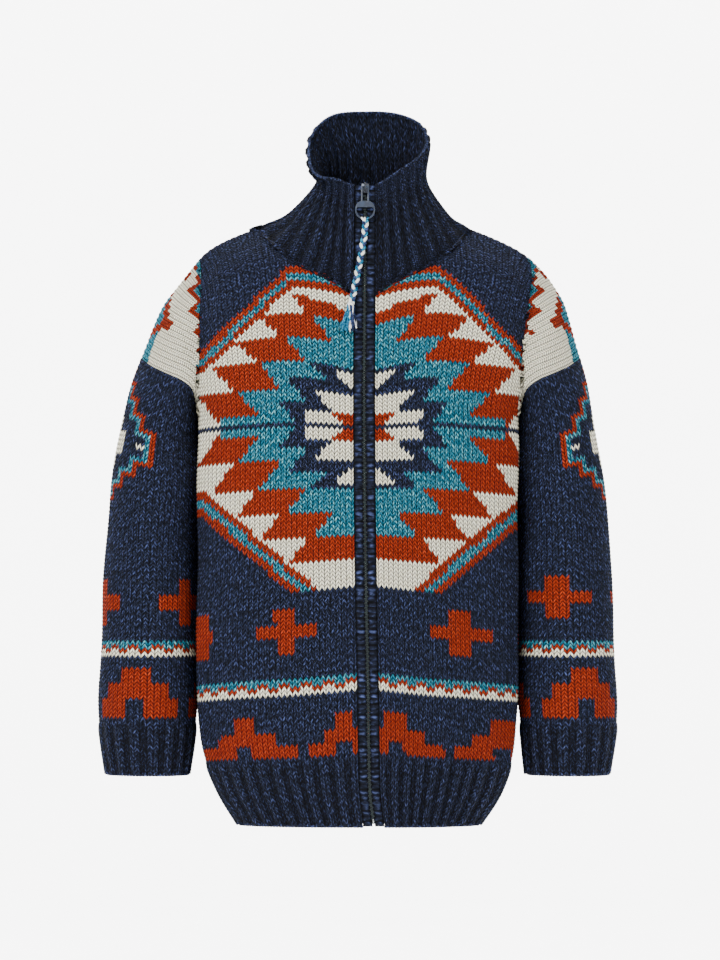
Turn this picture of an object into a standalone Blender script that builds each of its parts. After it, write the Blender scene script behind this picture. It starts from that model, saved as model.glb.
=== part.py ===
"""A bulky-knit zip cardigan, filled out as if worn: the construction of its pieces.

Metres, +Z up, the front of the garment towards -Y. The origin is inside the neck, level with
the points where the collar meets the shoulders. Every cloth piece is a wall between a worked
outer surface and a plain inner one. The outer surface comes from short tables of sections.
"""

import math

import bmesh
import bpy
import numpy as np
from mathutils import Matrix

COLLECTION = "zip_cardigan"
GOLDEN_ANGLE = math.pi * (3.0 - math.sqrt(5.0))
WELD = 1e-5

# Finishes: colour, roughness, metallic
NAVY_WOOL = ((0.020, 0.033, 0.075), 0.95)
LACQUER = ((0.015, 0.045, 0.085), 0.35, 0.6)
STEEL = ((0.60, 0.62, 0.65), 0.3, 1.0)
TAPE = ((0.010, 0.014, 0.028), 0.9)
AQUA_YARN = ((0.10, 0.42, 0.48), 0.9)

# Cloth
WALL = 0.004
SEAM_GAP = 0.0003
COLLAR_GAP = 0.0007
SLEEVE_GAP = 0.0003
RIB_HEIGHT = 0.0022

# Body heights, along the centre front and back
HEM = -0.698
HEM_RIB_TOP = -0.6176
UNDERARM = -0.229
TOP = 0.003

# Columns of a body quarter: across the chest, then round the side or over the arm
CHEST_COLUMNS = 12
SIDE_COLUMNS = 4
NECK_COLUMNS = 8
YOKE_ROWS = 14
YOKE_SHARES = np.linspace(0.0, 1.0, YOKE_ROWS + 1)
BODY_LEVELS = (HEM, -0.672, -0.645, HEM_RIB_TOP, -0.585, -0.545, -0.49, -0.43, -0.37, -0.31, -0.268)

# Ribbed rows of the hem
HEM_ROWS = 3

# Zip
ZIP_STEPS = 32
ZIP_TOP = 0.0305
TAPE_ENDS = (0.0030, 0.0045)
CHAIN_TOP = 0.025
TAPE_PARTING = 0.0003
BAND_WIDTH = 0.0155
BAND_GAP = 0.0028
BAND_PROUD = 0.0008
BAND_WALL = 0.0036
TAPE_WALL = 0.0008
TAPE_WIDTH = 0.0125
CHAIN_WIDTH = 0.0045
CHAIN_DEPTH = 0.0030

# Slider and pull. The pull hangs from a bar that turns in the slider's arch
PULL_TILT = math.radians(11.0)
PULL_BAR = (0.0035, -0.0872, 0.0290)
SLIDER_PLATE = (0.0090, 0.0020, 0.0130)
PLATE_EDGE = 0.0005
ARCH_WIRE = 0.0008
ARCH_STEPS = 9
ARCH_HALF_LENGTH = 0.0045
ARCH_HEIGHT = 0.0044
BAR_OFF_PLATE = 0.0017
TAB_THICK = 0.0018
TAB_RING = 0.0115
TAB_RING_MIDDLE = 0.0272
TAB_RIM = 0.0017
TAB_WINDOW_END = 0.0012
TAB_SOLID_TOP = math.radians(72.0)
TAB_RING_STEPS = 33
TAB_HOLE_STEPS = 25
LINK_HALF_WIDTH = 0.0045
LINK_RAIL = 0.0017
CORD_DIAMETER = 0.008
CORD_STEPS = 12
CORD_ROUTE = (
    (0.0040, -0.0950, -0.0098),
    (0.0034, -0.0970, -0.0200),
    (0.0017, -0.0999, -0.0330),
    (-0.0012, -0.1039, -0.0500),
    (-0.0045, -0.1083, -0.0670),
    (-0.0079, -0.1130, -0.0840),
    (-0.0110, -0.1174, -0.0995),
    (-0.0117, -0.1185, -0.1032),
)
TASSEL_TOP = (-0.0123, -0.1206, -0.1052)
TASSEL_HEAD = (0.0046, 0.0060)
TASSEL_LENGTH = 0.0300
TASSEL_RINGS = 2
TASSEL_SIDES = 12
TASSEL_STEPS = 4
# Shares of the head's radius, and of a strand's end against its root
TASSEL_WAIST = 0.82
TASSEL_RING_WIDTH = 0.27
STRAND_TAPER = 0.82
STRAND_PARTING = 0.00014
# How far the strands' ends swing: out by the strand's own place, to the left and forward
STRAND_SPREAD = (1.4, -0.15)
STRAND_SWING = (-0.0035, -0.0070)
STRAND_BEND = 1.3
STRAND_SHORTEST = 0.5

# How full a row is across the chest: the powers of its outline, and of its droop to the crease
CHEST_SQUARE = 2.4
CHEST_ROUND = 0.5
CHEST_DROOP = 2.2
# Below the underarm the crease flattens to this share of the body's depth
SIDE_DEPTH = 0.45
CREASE_INSET = 0.0020
SIDE_INSET = 0.0007

# Half sizes of the body below the underarm, from the garment's middle line:
# level, half width, front, back, droop
TORSO = (
    (HEM, 0.1392, 0.108, 0.092, 0.000),
    (-0.660, 0.1605, 0.119, 0.104, 0.004),
    (HEM_RIB_TOP, 0.1754, 0.129, 0.116, 0.011),
    (-0.560, 0.1800, 0.135, 0.123, 0.016),
    (-0.400, 0.1810, 0.137, 0.127, 0.012),
    (UNDERARM, 0.1835, 0.133, 0.126, 0.008),
)

# Rows above the underarm: share of the way to the shoulder seam, the centre's height, the front
# and back depths, the droop, then the crease between chest and arm (x, forward, z), and the arm's
# fullest point (x, forward, z)
YOKE = (
    (0.00, UNDERARM, 0.133, 0.1260, 0.008, 0.1815, 0.0600, -0.2360, 0.1828, 0.0300, -0.2365),
    (0.15, -0.208, 0.132, 0.1255, 0.009, 0.1830, 0.0655, -0.2160, 0.1850, 0.0540, -0.2195),
    (0.30, -0.185, 0.129, 0.1240, 0.011, 0.1840, 0.0690, -0.1940, 0.1880, 0.0690, -0.1990),
    (0.50, -0.133, 0.121, 0.1180, 0.018, 0.1840, 0.0640, -0.1500, 0.2000, 0.0725, -0.1690),
    (0.70, -0.080, 0.101, 0.1030, 0.030, 0.1848, 0.0500, -0.1060, 0.2120, 0.0620, -0.1370),
    (0.85, -0.038, 0.072, 0.0780, 0.042, 0.1862, 0.0310, -0.0745, 0.2205, 0.0400, -0.1135),
    (1.00, TOP, 0.000, 0.0000, 0.050, 0.1880, 0.0000, -0.0455, 0.2249, 0.0000, -0.0930),
)

# The seam between body and sleeve, from the underarm over the front to the outer arm: share of
# its length, its point (x, y, z), and the way its edge faces (x, y, z)
ARMHOLE = (
    (0.00, 0.1840, 0.0000, -0.2370, 0.10, 0.00, -0.99),
    (0.15, 0.1855, 0.0380, -0.2230, 0.30, 0.40, -0.87),
    (0.30, 0.1905, 0.0655, -0.2020, 0.35, 0.90, -0.25),
    (0.45, 0.2040, 0.0720, -0.1905, 0.25, 0.97, -0.05),
    (0.60, 0.2210, 0.0650, -0.1830, 0.45, 0.89, 0.06),
    (0.75, 0.2380, 0.0480, -0.1750, 0.72, 0.67, 0.16),
    (0.90, 0.2495, 0.0180, -0.1670, 0.94, 0.27, 0.20),
    (1.00, 0.2520, 0.0000, -0.1640, 0.97, 0.00, 0.24),
)

# The neckline seen from the front and from the back: distance from the zip's line, and height
NECKLINE_FRONT = ((0.0155, -0.114), (0.040, -0.084), (0.076, -0.062), (0.100, -0.044), (0.126, -0.0130))
NECKLINE_BACK = ((0.000, -0.034), (0.050, -0.031), (0.090, -0.024), (0.126, -0.0130))

# Sleeve rings below the armhole: height at the inner and outer side, inner and outer reach,
# the middle's place forward of the body's middle, half depth
SLEEVE = (
    (-0.2580, -0.2180, 0.1866, 0.2672, 0.000, 0.0680),
    (-0.2950, -0.2750, 0.1868, 0.2785, 0.000, 0.0680),
    (-0.3600, -0.3550, 0.1868, 0.2880, 0.002, 0.0675),
    (-0.4430, -0.4430, 0.1868, 0.2925, 0.004, 0.0670),
    (-0.5200, -0.5200, 0.1868, 0.2955, 0.007, 0.0650),
    (-0.5620, -0.5620, 0.1868, 0.2960, 0.009, 0.0635),
    (-0.5830, -0.5830, 0.1870, 0.2950, 0.010, 0.0620),
    (-0.6176, -0.6176, 0.1900, 0.2920, 0.011, 0.0560),
    (-0.6417, -0.6417, 0.1935, 0.2890, 0.012, 0.0520),
)

# Where the sleeve's rows lie, counted in the rings above with the armhole as 0; ribs start at 7.5
SLEEVE_STEPS = (0.0, 0.4, 1.0, 1.5, 2.0, 2.5, 3.0, 3.5, 4.0, 5.0, 6.0, 7.0, 7.5, 8.0, 8.5, 9.0)
CUFF_START = 7.5
SLEEVE_SQUARE = 0.9

# How far the garment's middle line stands to the right, by height
LEAN = ((-0.698, -0.0035), (-0.60, -0.0048), (-0.40, -0.0048), (-0.20, -0.0030), (-0.12, 0.0010),
        (-0.07, 0.0050), (-0.02, 0.0005), (0.00, 0.0030))

# The zip's line: height, place across, place forward
ZIP_LINE = (
    (-0.698, 0.0135, 0.1080),
    (-0.660, 0.0090, 0.1190),
    (-0.6176, 0.0078, 0.1290),
    (-0.560, 0.0070, 0.1350),
    (-0.400, 0.0040, 0.1370),
    (-0.229, 0.0024, 0.1330),
    (-0.185, 0.0024, 0.1290),
    (-0.114, 0.0028, 0.1155),
    (-0.050, 0.0032, 0.0985),
    (0.000, 0.0035, 0.0875),
    (0.031, 0.0035, 0.0820),
)

# The collar's rings from the neckline up. Each runs from the zip round the wearer's right side,
# the back and the other side to the zip: place across, place back from the middle, height
COLLAR_TURN = (
    (-0.0125, -0.0985, -0.050), (-0.040, -0.0900, -0.040), (-0.068, -0.0600, -0.012),
    (-0.080, -0.0100, 0.0010), (-0.070, 0.0320, 0.0040), (-0.037, 0.0610, 0.0040),
    (0.0090, 0.0705, 0.0050),
    (0.055, 0.0610, 0.0040), (0.087, 0.0320, 0.0040), (0.094, -0.0150, 0.0010),
    (0.082, -0.0600, -0.012), (0.050, -0.0900, -0.040), (0.0190, -0.0985, -0.050),
)
COLLAR_NECK = (
    (-0.0125, -0.0880, -0.002), (-0.032, -0.0810, 0.0080), (-0.0475, -0.0520, 0.0250),
    (-0.0515, -0.0120, 0.0330), (-0.0450, 0.0300, 0.0400), (-0.0230, 0.0560, 0.0460),
    (0.0110, 0.0640, 0.0480),
    (0.044, 0.0560, 0.0460), (0.0670, 0.0300, 0.0400), (0.0735, -0.0120, 0.0330),
    (0.0670, -0.0520, 0.0220), (0.044, -0.0800, 0.0060), (0.0190, -0.0880, -0.002),
)
COLLAR_RIM = (
    (-0.0115, -0.0820, 0.0305), (-0.030, -0.0830, 0.0370), (-0.0500, -0.0700, 0.0400),
    (-0.0610, -0.0400, 0.0560), (-0.0600, 0.0100, 0.0900), (-0.0360, 0.0500, 0.1160),
    (0.0060, 0.0640, 0.1210),
    (0.042, 0.0560, 0.1180), (0.0680, 0.0250, 0.1050), (0.0760, -0.0150, 0.0830),
    (0.0660, -0.0480, 0.0640), (0.042, -0.0710, 0.0470), (0.0180, -0.0820, 0.0305),
)
COLLAR_SHARES = (0.0, 0.38, 0.62, 1.0)
COLLAR_ROWS = (0.0, 0.10, 0.25, 0.42, 0.58, 0.74, 0.90, 1.0)


def smooth(knots, values, at):
    """A smooth curve through values, one row at each knot, read at one or more places."""
    knots = np.asarray(knots, float)
    values = np.asarray(values, float)
    at = np.clip(np.asarray(at, float), knots[0], knots[-1])
    slopes = np.gradient(values, knots, axis=0)
    i = np.clip(np.searchsorted(knots, at) - 1, 0, len(knots) - 2)
    span = knots[i + 1] - knots[i]
    s = (at - knots[i]) / span
    shape = s.shape + (1,) * (values.ndim - 1)
    s = s.reshape(shape)
    span = span.reshape(shape)
    start = (1 + 2 * s) * (1 - s) ** 2 * values[i] + s * (1 - s) ** 2 * span * slopes[i]
    end = s * s * (3 - 2 * s) * values[i + 1] + s * s * (s - 1) * span * slopes[i + 1]
    return start + end


def column(table, index):
    return np.array([row[index] for row in table])


def lean(z):
    return smooth(column(LEAN, 0), column(LEAN, 1), z)


def zip_point(z):
    """The zip line's place across and forward at a height."""
    return smooth(column(ZIP_LINE, 0), np.array(ZIP_LINE)[:, 1:], z)


def along(points, shares):
    """Points at the given shares of a line's length."""
    points = np.asarray(points, float)
    steps = np.linalg.norm(np.diff(points, axis=0), axis=1)
    length = np.concatenate([[0.0], np.cumsum(steps)])
    at = np.asarray(shares, float) * length[-1]
    return np.stack([np.interp(at, length, points[:, k]) for k in range(3)], axis=1)


def curve_through(points, count=60):
    """A dense smooth line through a few points."""
    points = np.asarray(points, float)
    steps = np.linalg.norm(np.diff(points, axis=0), axis=1)
    knots = np.concatenate([[0.0], np.cumsum(steps)])
    return smooth(knots, points, np.linspace(0.0, knots[-1], count))


def armhole_point(share, face):
    """A point of the armhole seam, and the way its edge faces, on the +X side before the lean."""
    row = smooth(column(ARMHOLE, 0), np.array(ARMHOLE)[:, 1:], share)
    facing = row[3:] / np.linalg.norm(row[3:])
    flip = np.array([1.0, face, 1.0])
    return row[:3] * flip, facing * flip


def section(share_or_level, face, above):
    """The sizes of a body row: centre height, depth, droop, crease, arm and edge points."""
    depth_index = 2 if face < 0 else 3
    if above:
        row = smooth(column(YOKE, 0), np.array(YOKE), share_or_level)
        level, depth, droop = row[1], row[depth_index], row[4]
        crease = row[5:8]
        arm = row[8:11]
        edge = armhole_point(share_or_level, 1.0)[0]
    else:
        row = smooth(column(TORSO, 0), np.array(TORSO), share_or_level)
        level, half, depth, droop = row[0], row[1], row[depth_index], row[4]
        side_depth = SIDE_DEPTH * min(row[2], row[3])
        crease = np.array([half - CREASE_INSET, side_depth, level - droop])
        arm = np.array([half - SIDE_INSET, side_depth / 2, level - droop])
        edge = np.array([half, 0.0, level - droop])
    return level, depth, droop, crease, arm, edge


def body_row(share_or_level, face, above, shares_chest, shares_side):
    """One row of a body quarter on the +X side: from the centre to the crease and on to the edge."""
    level, depth, droop, crease, arm, edge = section(share_or_level, face, above)
    across = np.sin(np.linspace(0.0, math.pi / 2, 60))
    forward = crease[1] + (depth - crease[1]) * (1.0 - across ** CHEST_SQUARE) ** CHEST_ROUND
    down = level + (crease[2] - level) * across ** CHEST_DROOP
    chest = np.stack([across * crease[0], forward, down], axis=1)
    side = curve_through([crease, arm, edge])
    row = np.concatenate([along(chest, shares_chest), along(side, shares_side)[1:]])
    row[:, 1] *= face
    return row


def quarter(face, side, levels_above, top_shares=None, chest=CHEST_COLUMNS, across=SIDE_COLUMNS):
    """The outer surface of a body quarter: rows of points from the hem to the shoulder seam.

    face is -1 for the front and 1 for the back, side is -1 for the piece at -X. top_shares cuts
    each column off at its own share of the yoke.
    """
    shares_chest = np.linspace(0.0, 1.0, chest + 1)
    shares_side = np.linspace(0.0, 1.0, across + 1)
    rows = [body_row(level, face, False, shares_chest, shares_side) for level in BODY_LEVELS]
    fine = np.linspace(0.0, 1.0, 57)
    yoke = np.array([body_row(t, face, True, shares_chest, shares_side) for t in fine])
    if top_shares is None:
        top_shares = np.ones(yoke.shape[1])
    for share in levels_above:
        rows.append(np.array([
            smooth(fine, yoke[:, i], share * top_shares[i]) for i in range(yoke.shape[1])]))
    grid = np.array(rows)
    grid[:, :, 0] = side * grid[:, :, 0] + lean(grid[:, :, 2])
    if face < 0:
        grid = open_at_zip(grid, side, chest * NECK_COLUMNS / CHEST_COLUMNS)
    return grid


def open_at_zip(grid, side, last_column):
    """The front's columns moved aside so that the first runs along the edge of the zip's band."""
    start = zip_point(grid[:, 0, 2])[:, 0] + side * (BAND_WIDTH + SEAM_GAP)
    share = np.clip(np.arange(grid.shape[1]) / last_column, 0.0, 1.0)
    shift = (start - grid[:, 0, 0])[:, None] * (1.0 - share)[None, :]
    moved = grid.copy()
    moved[:, :, 0] += shift
    return moved


def neckline_shares(face, side):
    """For each column, the share of the yoke at which the neckline cuts it off."""
    fine = np.linspace(0.0, 1.0, 101)
    surface = quarter(face, side, fine)[len(BODY_LEVELS):]
    line = np.array(NECKLINE_FRONT if face < 0 else NECKLINE_BACK)
    tops = np.ones(surface.shape[1])
    for i in range(NECK_COLUMNS):
        points = surface[:, i]
        middle = zip_point(points[:, 2])[:, 0]
        height = np.interp(np.abs(points[:, 0] - middle), line[:, 0], line[:, 1])
        tops[i] = np.interp(0.0, points[:, 2] - height, fine)
    return tops


def facings(grid):
    """Unit normals of a grid of points, from the lines between each point's neighbours."""
    across = np.gradient(grid, axis=1)
    up = np.gradient(grid, axis=0)
    normal = np.cross(across, up)
    size = np.linalg.norm(normal, axis=2, keepdims=True)
    return normal / np.maximum(size, 1e-12)


def eased(points, towards, distance):
    """Points moved a little towards others, to leave the gap of a seam."""
    step = towards - points
    size = np.linalg.norm(step, axis=-1, keepdims=True)
    return points + step / np.maximum(size, 1e-12) * distance


def wall_mesh(name, outer, inner, round_it=False):
    """A closed wall between two grids of points; round_it joins the last column to the first."""
    rows, columns = outer.shape[:2]
    mesh = bmesh.new()
    front = [[mesh.verts.new(p) for p in row] for row in outer]
    back = [[mesh.verts.new(p) for p in row] for row in inner]
    last = columns if round_it else columns - 1
    for j in range(rows - 1):
        for i in range(last):
            k = (i + 1) % columns
            mesh.faces.new((front[j][i], front[j][k], front[j + 1][k], front[j + 1][i]))
            mesh.faces.new((back[j][k], back[j][i], back[j + 1][i], back[j + 1][k]))
    for i in range(last):
        k = (i + 1) % columns
        mesh.faces.new((front[0][k], front[0][i], back[0][i], back[0][k]))
        mesh.faces.new((front[-1][i], front[-1][k], back[-1][k], back[-1][i]))
    if not round_it:
        for j in range(rows - 1):
            mesh.faces.new((front[j][0], front[j + 1][0], back[j + 1][0], back[j][0]))
            mesh.faces.new((front[j + 1][-1], front[j][-1], back[j][-1], back[j + 1][-1]))
    bmesh.ops.recalc_face_normals(mesh, faces=mesh.faces)
    data = bpy.data.meshes.new(name)
    mesh.to_mesh(data)
    mesh.free()
    return data


def material(name, colour, roughness, metallic=0.0):
    made = bpy.data.materials.new(name)
    made.use_nodes = True
    shader = made.node_tree.nodes["Principled BSDF"]
    shader.inputs["Base Color"].default_value = (*colour, 1.0)
    shader.inputs["Roughness"].default_value = roughness
    shader.inputs["Metallic"].default_value = metallic
    made.diffuse_color = (*colour, 1.0)
    return made


def place(name, data, finish):
    """An object for a sub-part, in the garment's collection, with its own material."""
    made = bpy.data.objects.new(name, data)
    bpy.data.collections[COLLECTION].objects.link(made)
    data.materials.append(material(f"{name}_finish", *finish))
    return made


def rib_relief(rows, columns, share):
    """How proud each point of a ribbed stretch stands: every other column, by the row's share."""
    proud = np.zeros((rows, columns))
    proud[:, 1::2] = 1.0
    return proud * np.asarray(share)[:, None] * RIB_HEIGHT


def body_surface(face, side, tops):
    return quarter(face, side, YOKE_SHARES, tops)


def edge_facings(grid, side, face):
    """A quarter's normals, set at its seams to the ones that it shares with its neighbours."""
    normals = facings(grid)
    if side * face > 0:
        normals = -normals
    if face < 0:
        normals[:, 0] = straight_forward(normals[:, 0])
    first_yoke = len(BODY_LEVELS)
    normals[:first_yoke, -1] = (side, 0.0, 0.0)
    for j, share in enumerate(YOKE_SHARES):
        facing = armhole_point(share, float(face))[1]
        normals[first_yoke + j, -1] = facing * (side, 1.0, 1.0)
    return normals


def straight_forward(normals):
    """Normals with no lean to either side, for an edge that runs along the zip's band."""
    flat = normals * (0.0, 1.0, 1.0)
    return flat / np.linalg.norm(flat, axis=1, keepdims=True)


def body_quarters():
    """The four quarters of the body: outer points and normals, with the shoulder seam shared."""
    made = {}
    for side in (-1, 1):
        for face in (-1, 1):
            tops = neckline_shares(face, side)
            grid = body_surface(face, side, tops)
            made[face, side] = (grid, edge_facings(grid, side, face))
        front, back = made[-1, side][1], made[1, side][1]
        shared = front[-1, NECK_COLUMNS:-1] + back[-1, NECK_COLUMNS:-1]
        shared /= np.linalg.norm(shared, axis=1, keepdims=True)
        front[-1, NECK_COLUMNS:-1] = shared
        back[-1, NECK_COLUMNS:-1] = shared
    middle = made[1, -1][1][:, 0] + made[1, 1][1][:, 0]
    middle /= np.linalg.norm(middle, axis=1, keepdims=True)
    made[1, -1][1][:, 0] = middle
    made[1, 1][1][:, 0] = middle
    return made


def seam_way(line, facing, inside):
    """Unit directions across a seam, in the cloth's own surface, pointing away from inside."""
    way = np.cross(np.gradient(line, axis=0), facing)
    way /= np.linalg.norm(way, axis=1, keepdims=True)
    return way * np.where(((line - inside) * way).sum(axis=1, keepdims=True).mean() < 0, -1.0, 1.0)


def trimmed(grid, surface, normals):
    """A quarter's points with its top, side and armhole edges drawn back for the seams."""
    cut = grid.copy()
    yoke = len(BODY_LEVELS)
    top = seam_way(surface[-1], normals[-1], surface[-2])
    armhole = seam_way(surface[yoke:, -1], normals[yoke:, -1], surface[yoke:, -2])
    cut[-1, :-1] -= top[:-1] * SEAM_GAP / 2
    cut[:yoke, -1] = eased(cut[:yoke, -1], cut[:yoke, -2], SEAM_GAP / 2)
    cut[yoke:, -1] -= armhole * SEAM_GAP / 2
    return cut


def body_walls(grid, normals):
    """A panel's outer and inner points: ribs at the hem, a plain inside."""
    hem_share = np.zeros(grid.shape[0])
    hem_share[:HEM_ROWS] = 1.0
    proud = rib_relief(grid.shape[0], grid.shape[1], hem_share)
    proud[:, -1] = 0.0
    outer = grid + normals * proud[:, :, None]
    inner = grid - normals * WALL
    return trimmed(outer, grid, normals), trimmed(inner, grid, normals)


def body_panels(quarters):
    for side, name in ((-1, "front_left"), (1, "front_right")):
        outer, inner = body_walls(*quarters[-1, side])
        place(name, wall_mesh(name, outer, inner), NAVY_WOOL)
    left = body_walls(*quarters[1, -1])
    right = body_walls(*quarters[1, 1])
    outer, inner = (np.concatenate([l[:, ::-1], r[:, 1:]], axis=1) for l, r in zip(left, right))
    place("back", wall_mesh("back", outer, inner), NAVY_WOOL)


def sleeve_grid(side):
    """A sleeve's outer rings, from the armhole to the cuff; columns run round from the underarm."""
    shares = np.concatenate([YOKE_SHARES, YOKE_SHARES[-2:0:-1]])
    faces = np.concatenate([-np.ones(YOKE_ROWS + 1), np.ones(YOKE_ROWS - 1)])
    first = [armhole_point(s, f) for s, f in zip(shares, faces)]
    rings = [np.array([p for p, _ in first])]
    turn = math.pi * shares
    for inner_z, outer_z, inner_x, outer_x, forward, half_depth in SLEEVE:
        middle, half = (inner_x + outer_x) / 2, (outer_x - inner_x) / 2
        x = middle - half * np.sign(np.cos(turn)) * np.abs(np.cos(turn)) ** SLEEVE_SQUARE
        y = -forward + faces * half_depth * np.sin(turn) ** SLEEVE_SQUARE
        z = (inner_z + outer_z) / 2 + (inner_z - outer_z) / 2 * np.cos(turn)
        rings.append(np.stack([x, y, z], axis=1))
    knots = np.arange(len(rings), dtype=float)
    grid = smooth(knots, np.array(rings), SLEEVE_STEPS)
    grid[:, :, 0] = side * grid[:, :, 0] + lean(grid[:, :, 2])
    normals = np.cross(round_gradient(grid), np.gradient(grid, axis=0)) * side
    normals /= np.linalg.norm(normals, axis=2, keepdims=True)
    outward = grid - grid.mean(axis=1, keepdims=True)
    normals *= np.sign((normals * outward).sum(axis=2).mean())
    normals[0] = np.array([n for _, n in first]) * (side, 1.0, 1.0)
    return grid, normals


def round_gradient(grid):
    """The change from each point's neighbour to the next, round a closed ring."""
    return (np.roll(grid, -1, axis=1) - np.roll(grid, 1, axis=1)) / 2


def sleeve(side, name):
    grid, normals = sleeve_grid(side)
    cuff = np.where(np.array(SLEEVE_STEPS) >= CUFF_START, 1.0, 0.0)
    proud = rib_relief(grid.shape[0], grid.shape[1], cuff)
    outer = grid + normals * proud[:, :, None]
    inner = grid - normals * WALL
    way = seam_way(*(np.pad(line, ((1, 1), (0, 0)), mode="wrap") for line in
                     (grid[0], normals[0], grid[1])))[1:-1]
    outer[0] -= way * SLEEVE_GAP
    inner[0] -= way * SLEEVE_GAP
    place(name, wall_mesh(name, outer, inner, round_it=True), NAVY_WOOL)


def between(points):
    """A line's points with the middles of its stretches put in."""
    made = np.empty((2 * len(points) - 1, points.shape[1]))
    made[::2] = points
    made[1::2] = (points[:-1] + points[1:]) / 2
    return made


def collar_base(quarters, kind):
    """The neckline from the zip round the back to the zip: kind 0 is its points, 1 its facing."""
    count = NECK_COLUMNS + 1
    lines = [quarters[face, side][kind][-1, :count] for face, side in ((-1, -1), (1, -1), (1, 1), (-1, 1))]
    return np.concatenate([lines[0], lines[1][::-1][1:], lines[2][1:], lines[3][::-1][1:]])


def collar(quarters):
    base = between(collar_base(quarters, 0))
    facing = between(collar_base(quarters, 1))
    facing /= np.linalg.norm(facing, axis=1, keepdims=True)
    shares = np.linspace(0.0, 1.0, len(base))
    rings = [base]
    for ring in (COLLAR_TURN, COLLAR_NECK, COLLAR_RIM):
        knots = np.linspace(0.0, 1.0, len(ring))
        rings.append(smooth(knots, ring, shares))
    grid = smooth(COLLAR_SHARES, np.array(rings), COLLAR_ROWS)
    for column_index, side in ((0, -1), (-1, 1)):
        z = grid[:, column_index, 2]
        grid[:, column_index, 0] = zip_point(z)[:, 0] + side * (BAND_WIDTH + SEAM_GAP)
        grid[:, column_index, 1] = -zip_point(z)[:, 1]
    normals = -facings(grid)
    normals[0] = facing
    for column_index in (0, -1):
        normals[:, column_index] = straight_forward(normals[:, column_index])
    relief_share = np.where(np.array(COLLAR_ROWS) > 0.05, 1.0, 0.0)
    proud = rib_relief(grid.shape[0], grid.shape[1], relief_share)
    proud[:, -1] = 0.0
    outer = grid + normals * proud[:, :, None]
    inner = grid - normals * WALL
    way = seam_way(grid[0], normals[0], grid[1])
    way[[0, -1], 0] = 0.0
    outer[0] -= way * COLLAR_GAP
    inner[0] -= way * COLLAR_GAP
    place("collar", wall_mesh("collar", outer, inner), NAVY_WOOL)


def strip(name, heights, left, right, front, back, finish):
    """A closed strip along the zip's line: its edges across, its front and back face in depth."""
    line = zip_point(heights)
    corners = ((left, front), (right, front), (right, back), (left, back))
    grid = np.array([
        [(x + dx, -y + dy, z) for dx, dy in corners] for z, (x, y) in zip(heights, line)])
    rows = grid.shape[0]
    mesh = bmesh.new()
    points = [[mesh.verts.new(p) for p in row] for row in grid]
    for j in range(rows - 1):
        for i in range(4):
            k = (i + 1) % 4
            mesh.faces.new((points[j][i], points[j][k], points[j + 1][k], points[j + 1][i]))
    mesh.faces.new(points[0][::-1])
    mesh.faces.new(points[-1])
    bmesh.ops.recalc_face_normals(mesh, faces=mesh.faces)
    data = bpy.data.meshes.new(name)
    mesh.to_mesh(data)
    mesh.free()
    place(name, data, finish)


def zip_and_bands():
    heights = np.linspace(HEM, ZIP_TOP, ZIP_STEPS)
    front, back = -BAND_PROUD, BAND_WALL - BAND_PROUD
    strip("band_left", heights, -BAND_WIDTH, -BAND_GAP, front, back, NAVY_WOOL)
    strip("band_right", heights, BAND_GAP, BAND_WIDTH, front, back, NAVY_WOOL)
    tape_front = back + SEAM_GAP
    tape_back = tape_front + TAPE_WALL
    tape_heights = np.linspace(HEM + TAPE_ENDS[0], ZIP_TOP - TAPE_ENDS[1], ZIP_STEPS)
    strip("zip_tape_left", tape_heights, -TAPE_WIDTH, -TAPE_PARTING, tape_front, tape_back, TAPE)
    strip("zip_tape_right", tape_heights, TAPE_PARTING, TAPE_WIDTH, tape_front, tape_back, TAPE)
    chain_heights = np.linspace(HEM + TAPE_ENDS[0], CHAIN_TOP, ZIP_STEPS)
    half = CHAIN_WIDTH / 2
    strip("zip_chain", chain_heights, -half, half, back - CHAIN_DEPTH, back, TAPE)


def as_mesh(made):
    """A curve or modified object turned into plain mesh, with its doubles welded."""
    graph = bpy.context.evaluated_depsgraph_get()
    data = bpy.data.meshes.new_from_object(made.evaluated_get(graph))
    data.transform(made.matrix_world)
    mesh = bmesh.new()
    mesh.from_mesh(data)
    bmesh.ops.remove_doubles(mesh, verts=mesh.verts, dist=WELD)
    bmesh.ops.recalc_face_normals(mesh, faces=mesh.faces)
    mesh.to_mesh(data)
    mesh.free()
    bpy.data.objects.remove(made, do_unlink=True)
    return data


def tube(name, points, radius, resolution):
    """A round tube through points, as mesh."""
    curve = bpy.data.curves.new(name, "CURVE")
    curve.dimensions = "3D"
    curve.bevel_depth = radius
    curve.bevel_resolution = resolution
    curve.use_fill_caps = True
    line = curve.splines.new("POLY")
    line.points.add(len(points) - 1)
    for point, place_at in zip(line.points, points):
        point.co = (*place_at, 1.0)
    made = bpy.data.objects.new(name, curve)
    bpy.context.scene.collection.objects.link(made)
    bpy.context.view_layer.update()
    return as_mesh(made)


def on_pull(across, down, out=0.0):
    """A point on the pull's plane: across, down from the bar, and out from the garment."""
    x, y, z = PULL_BAR
    sine, cosine = math.sin(PULL_TILT), math.cos(PULL_TILT)
    return (x + across, y - down * sine - out * cosine, z - down * cosine + out * sine)


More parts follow.
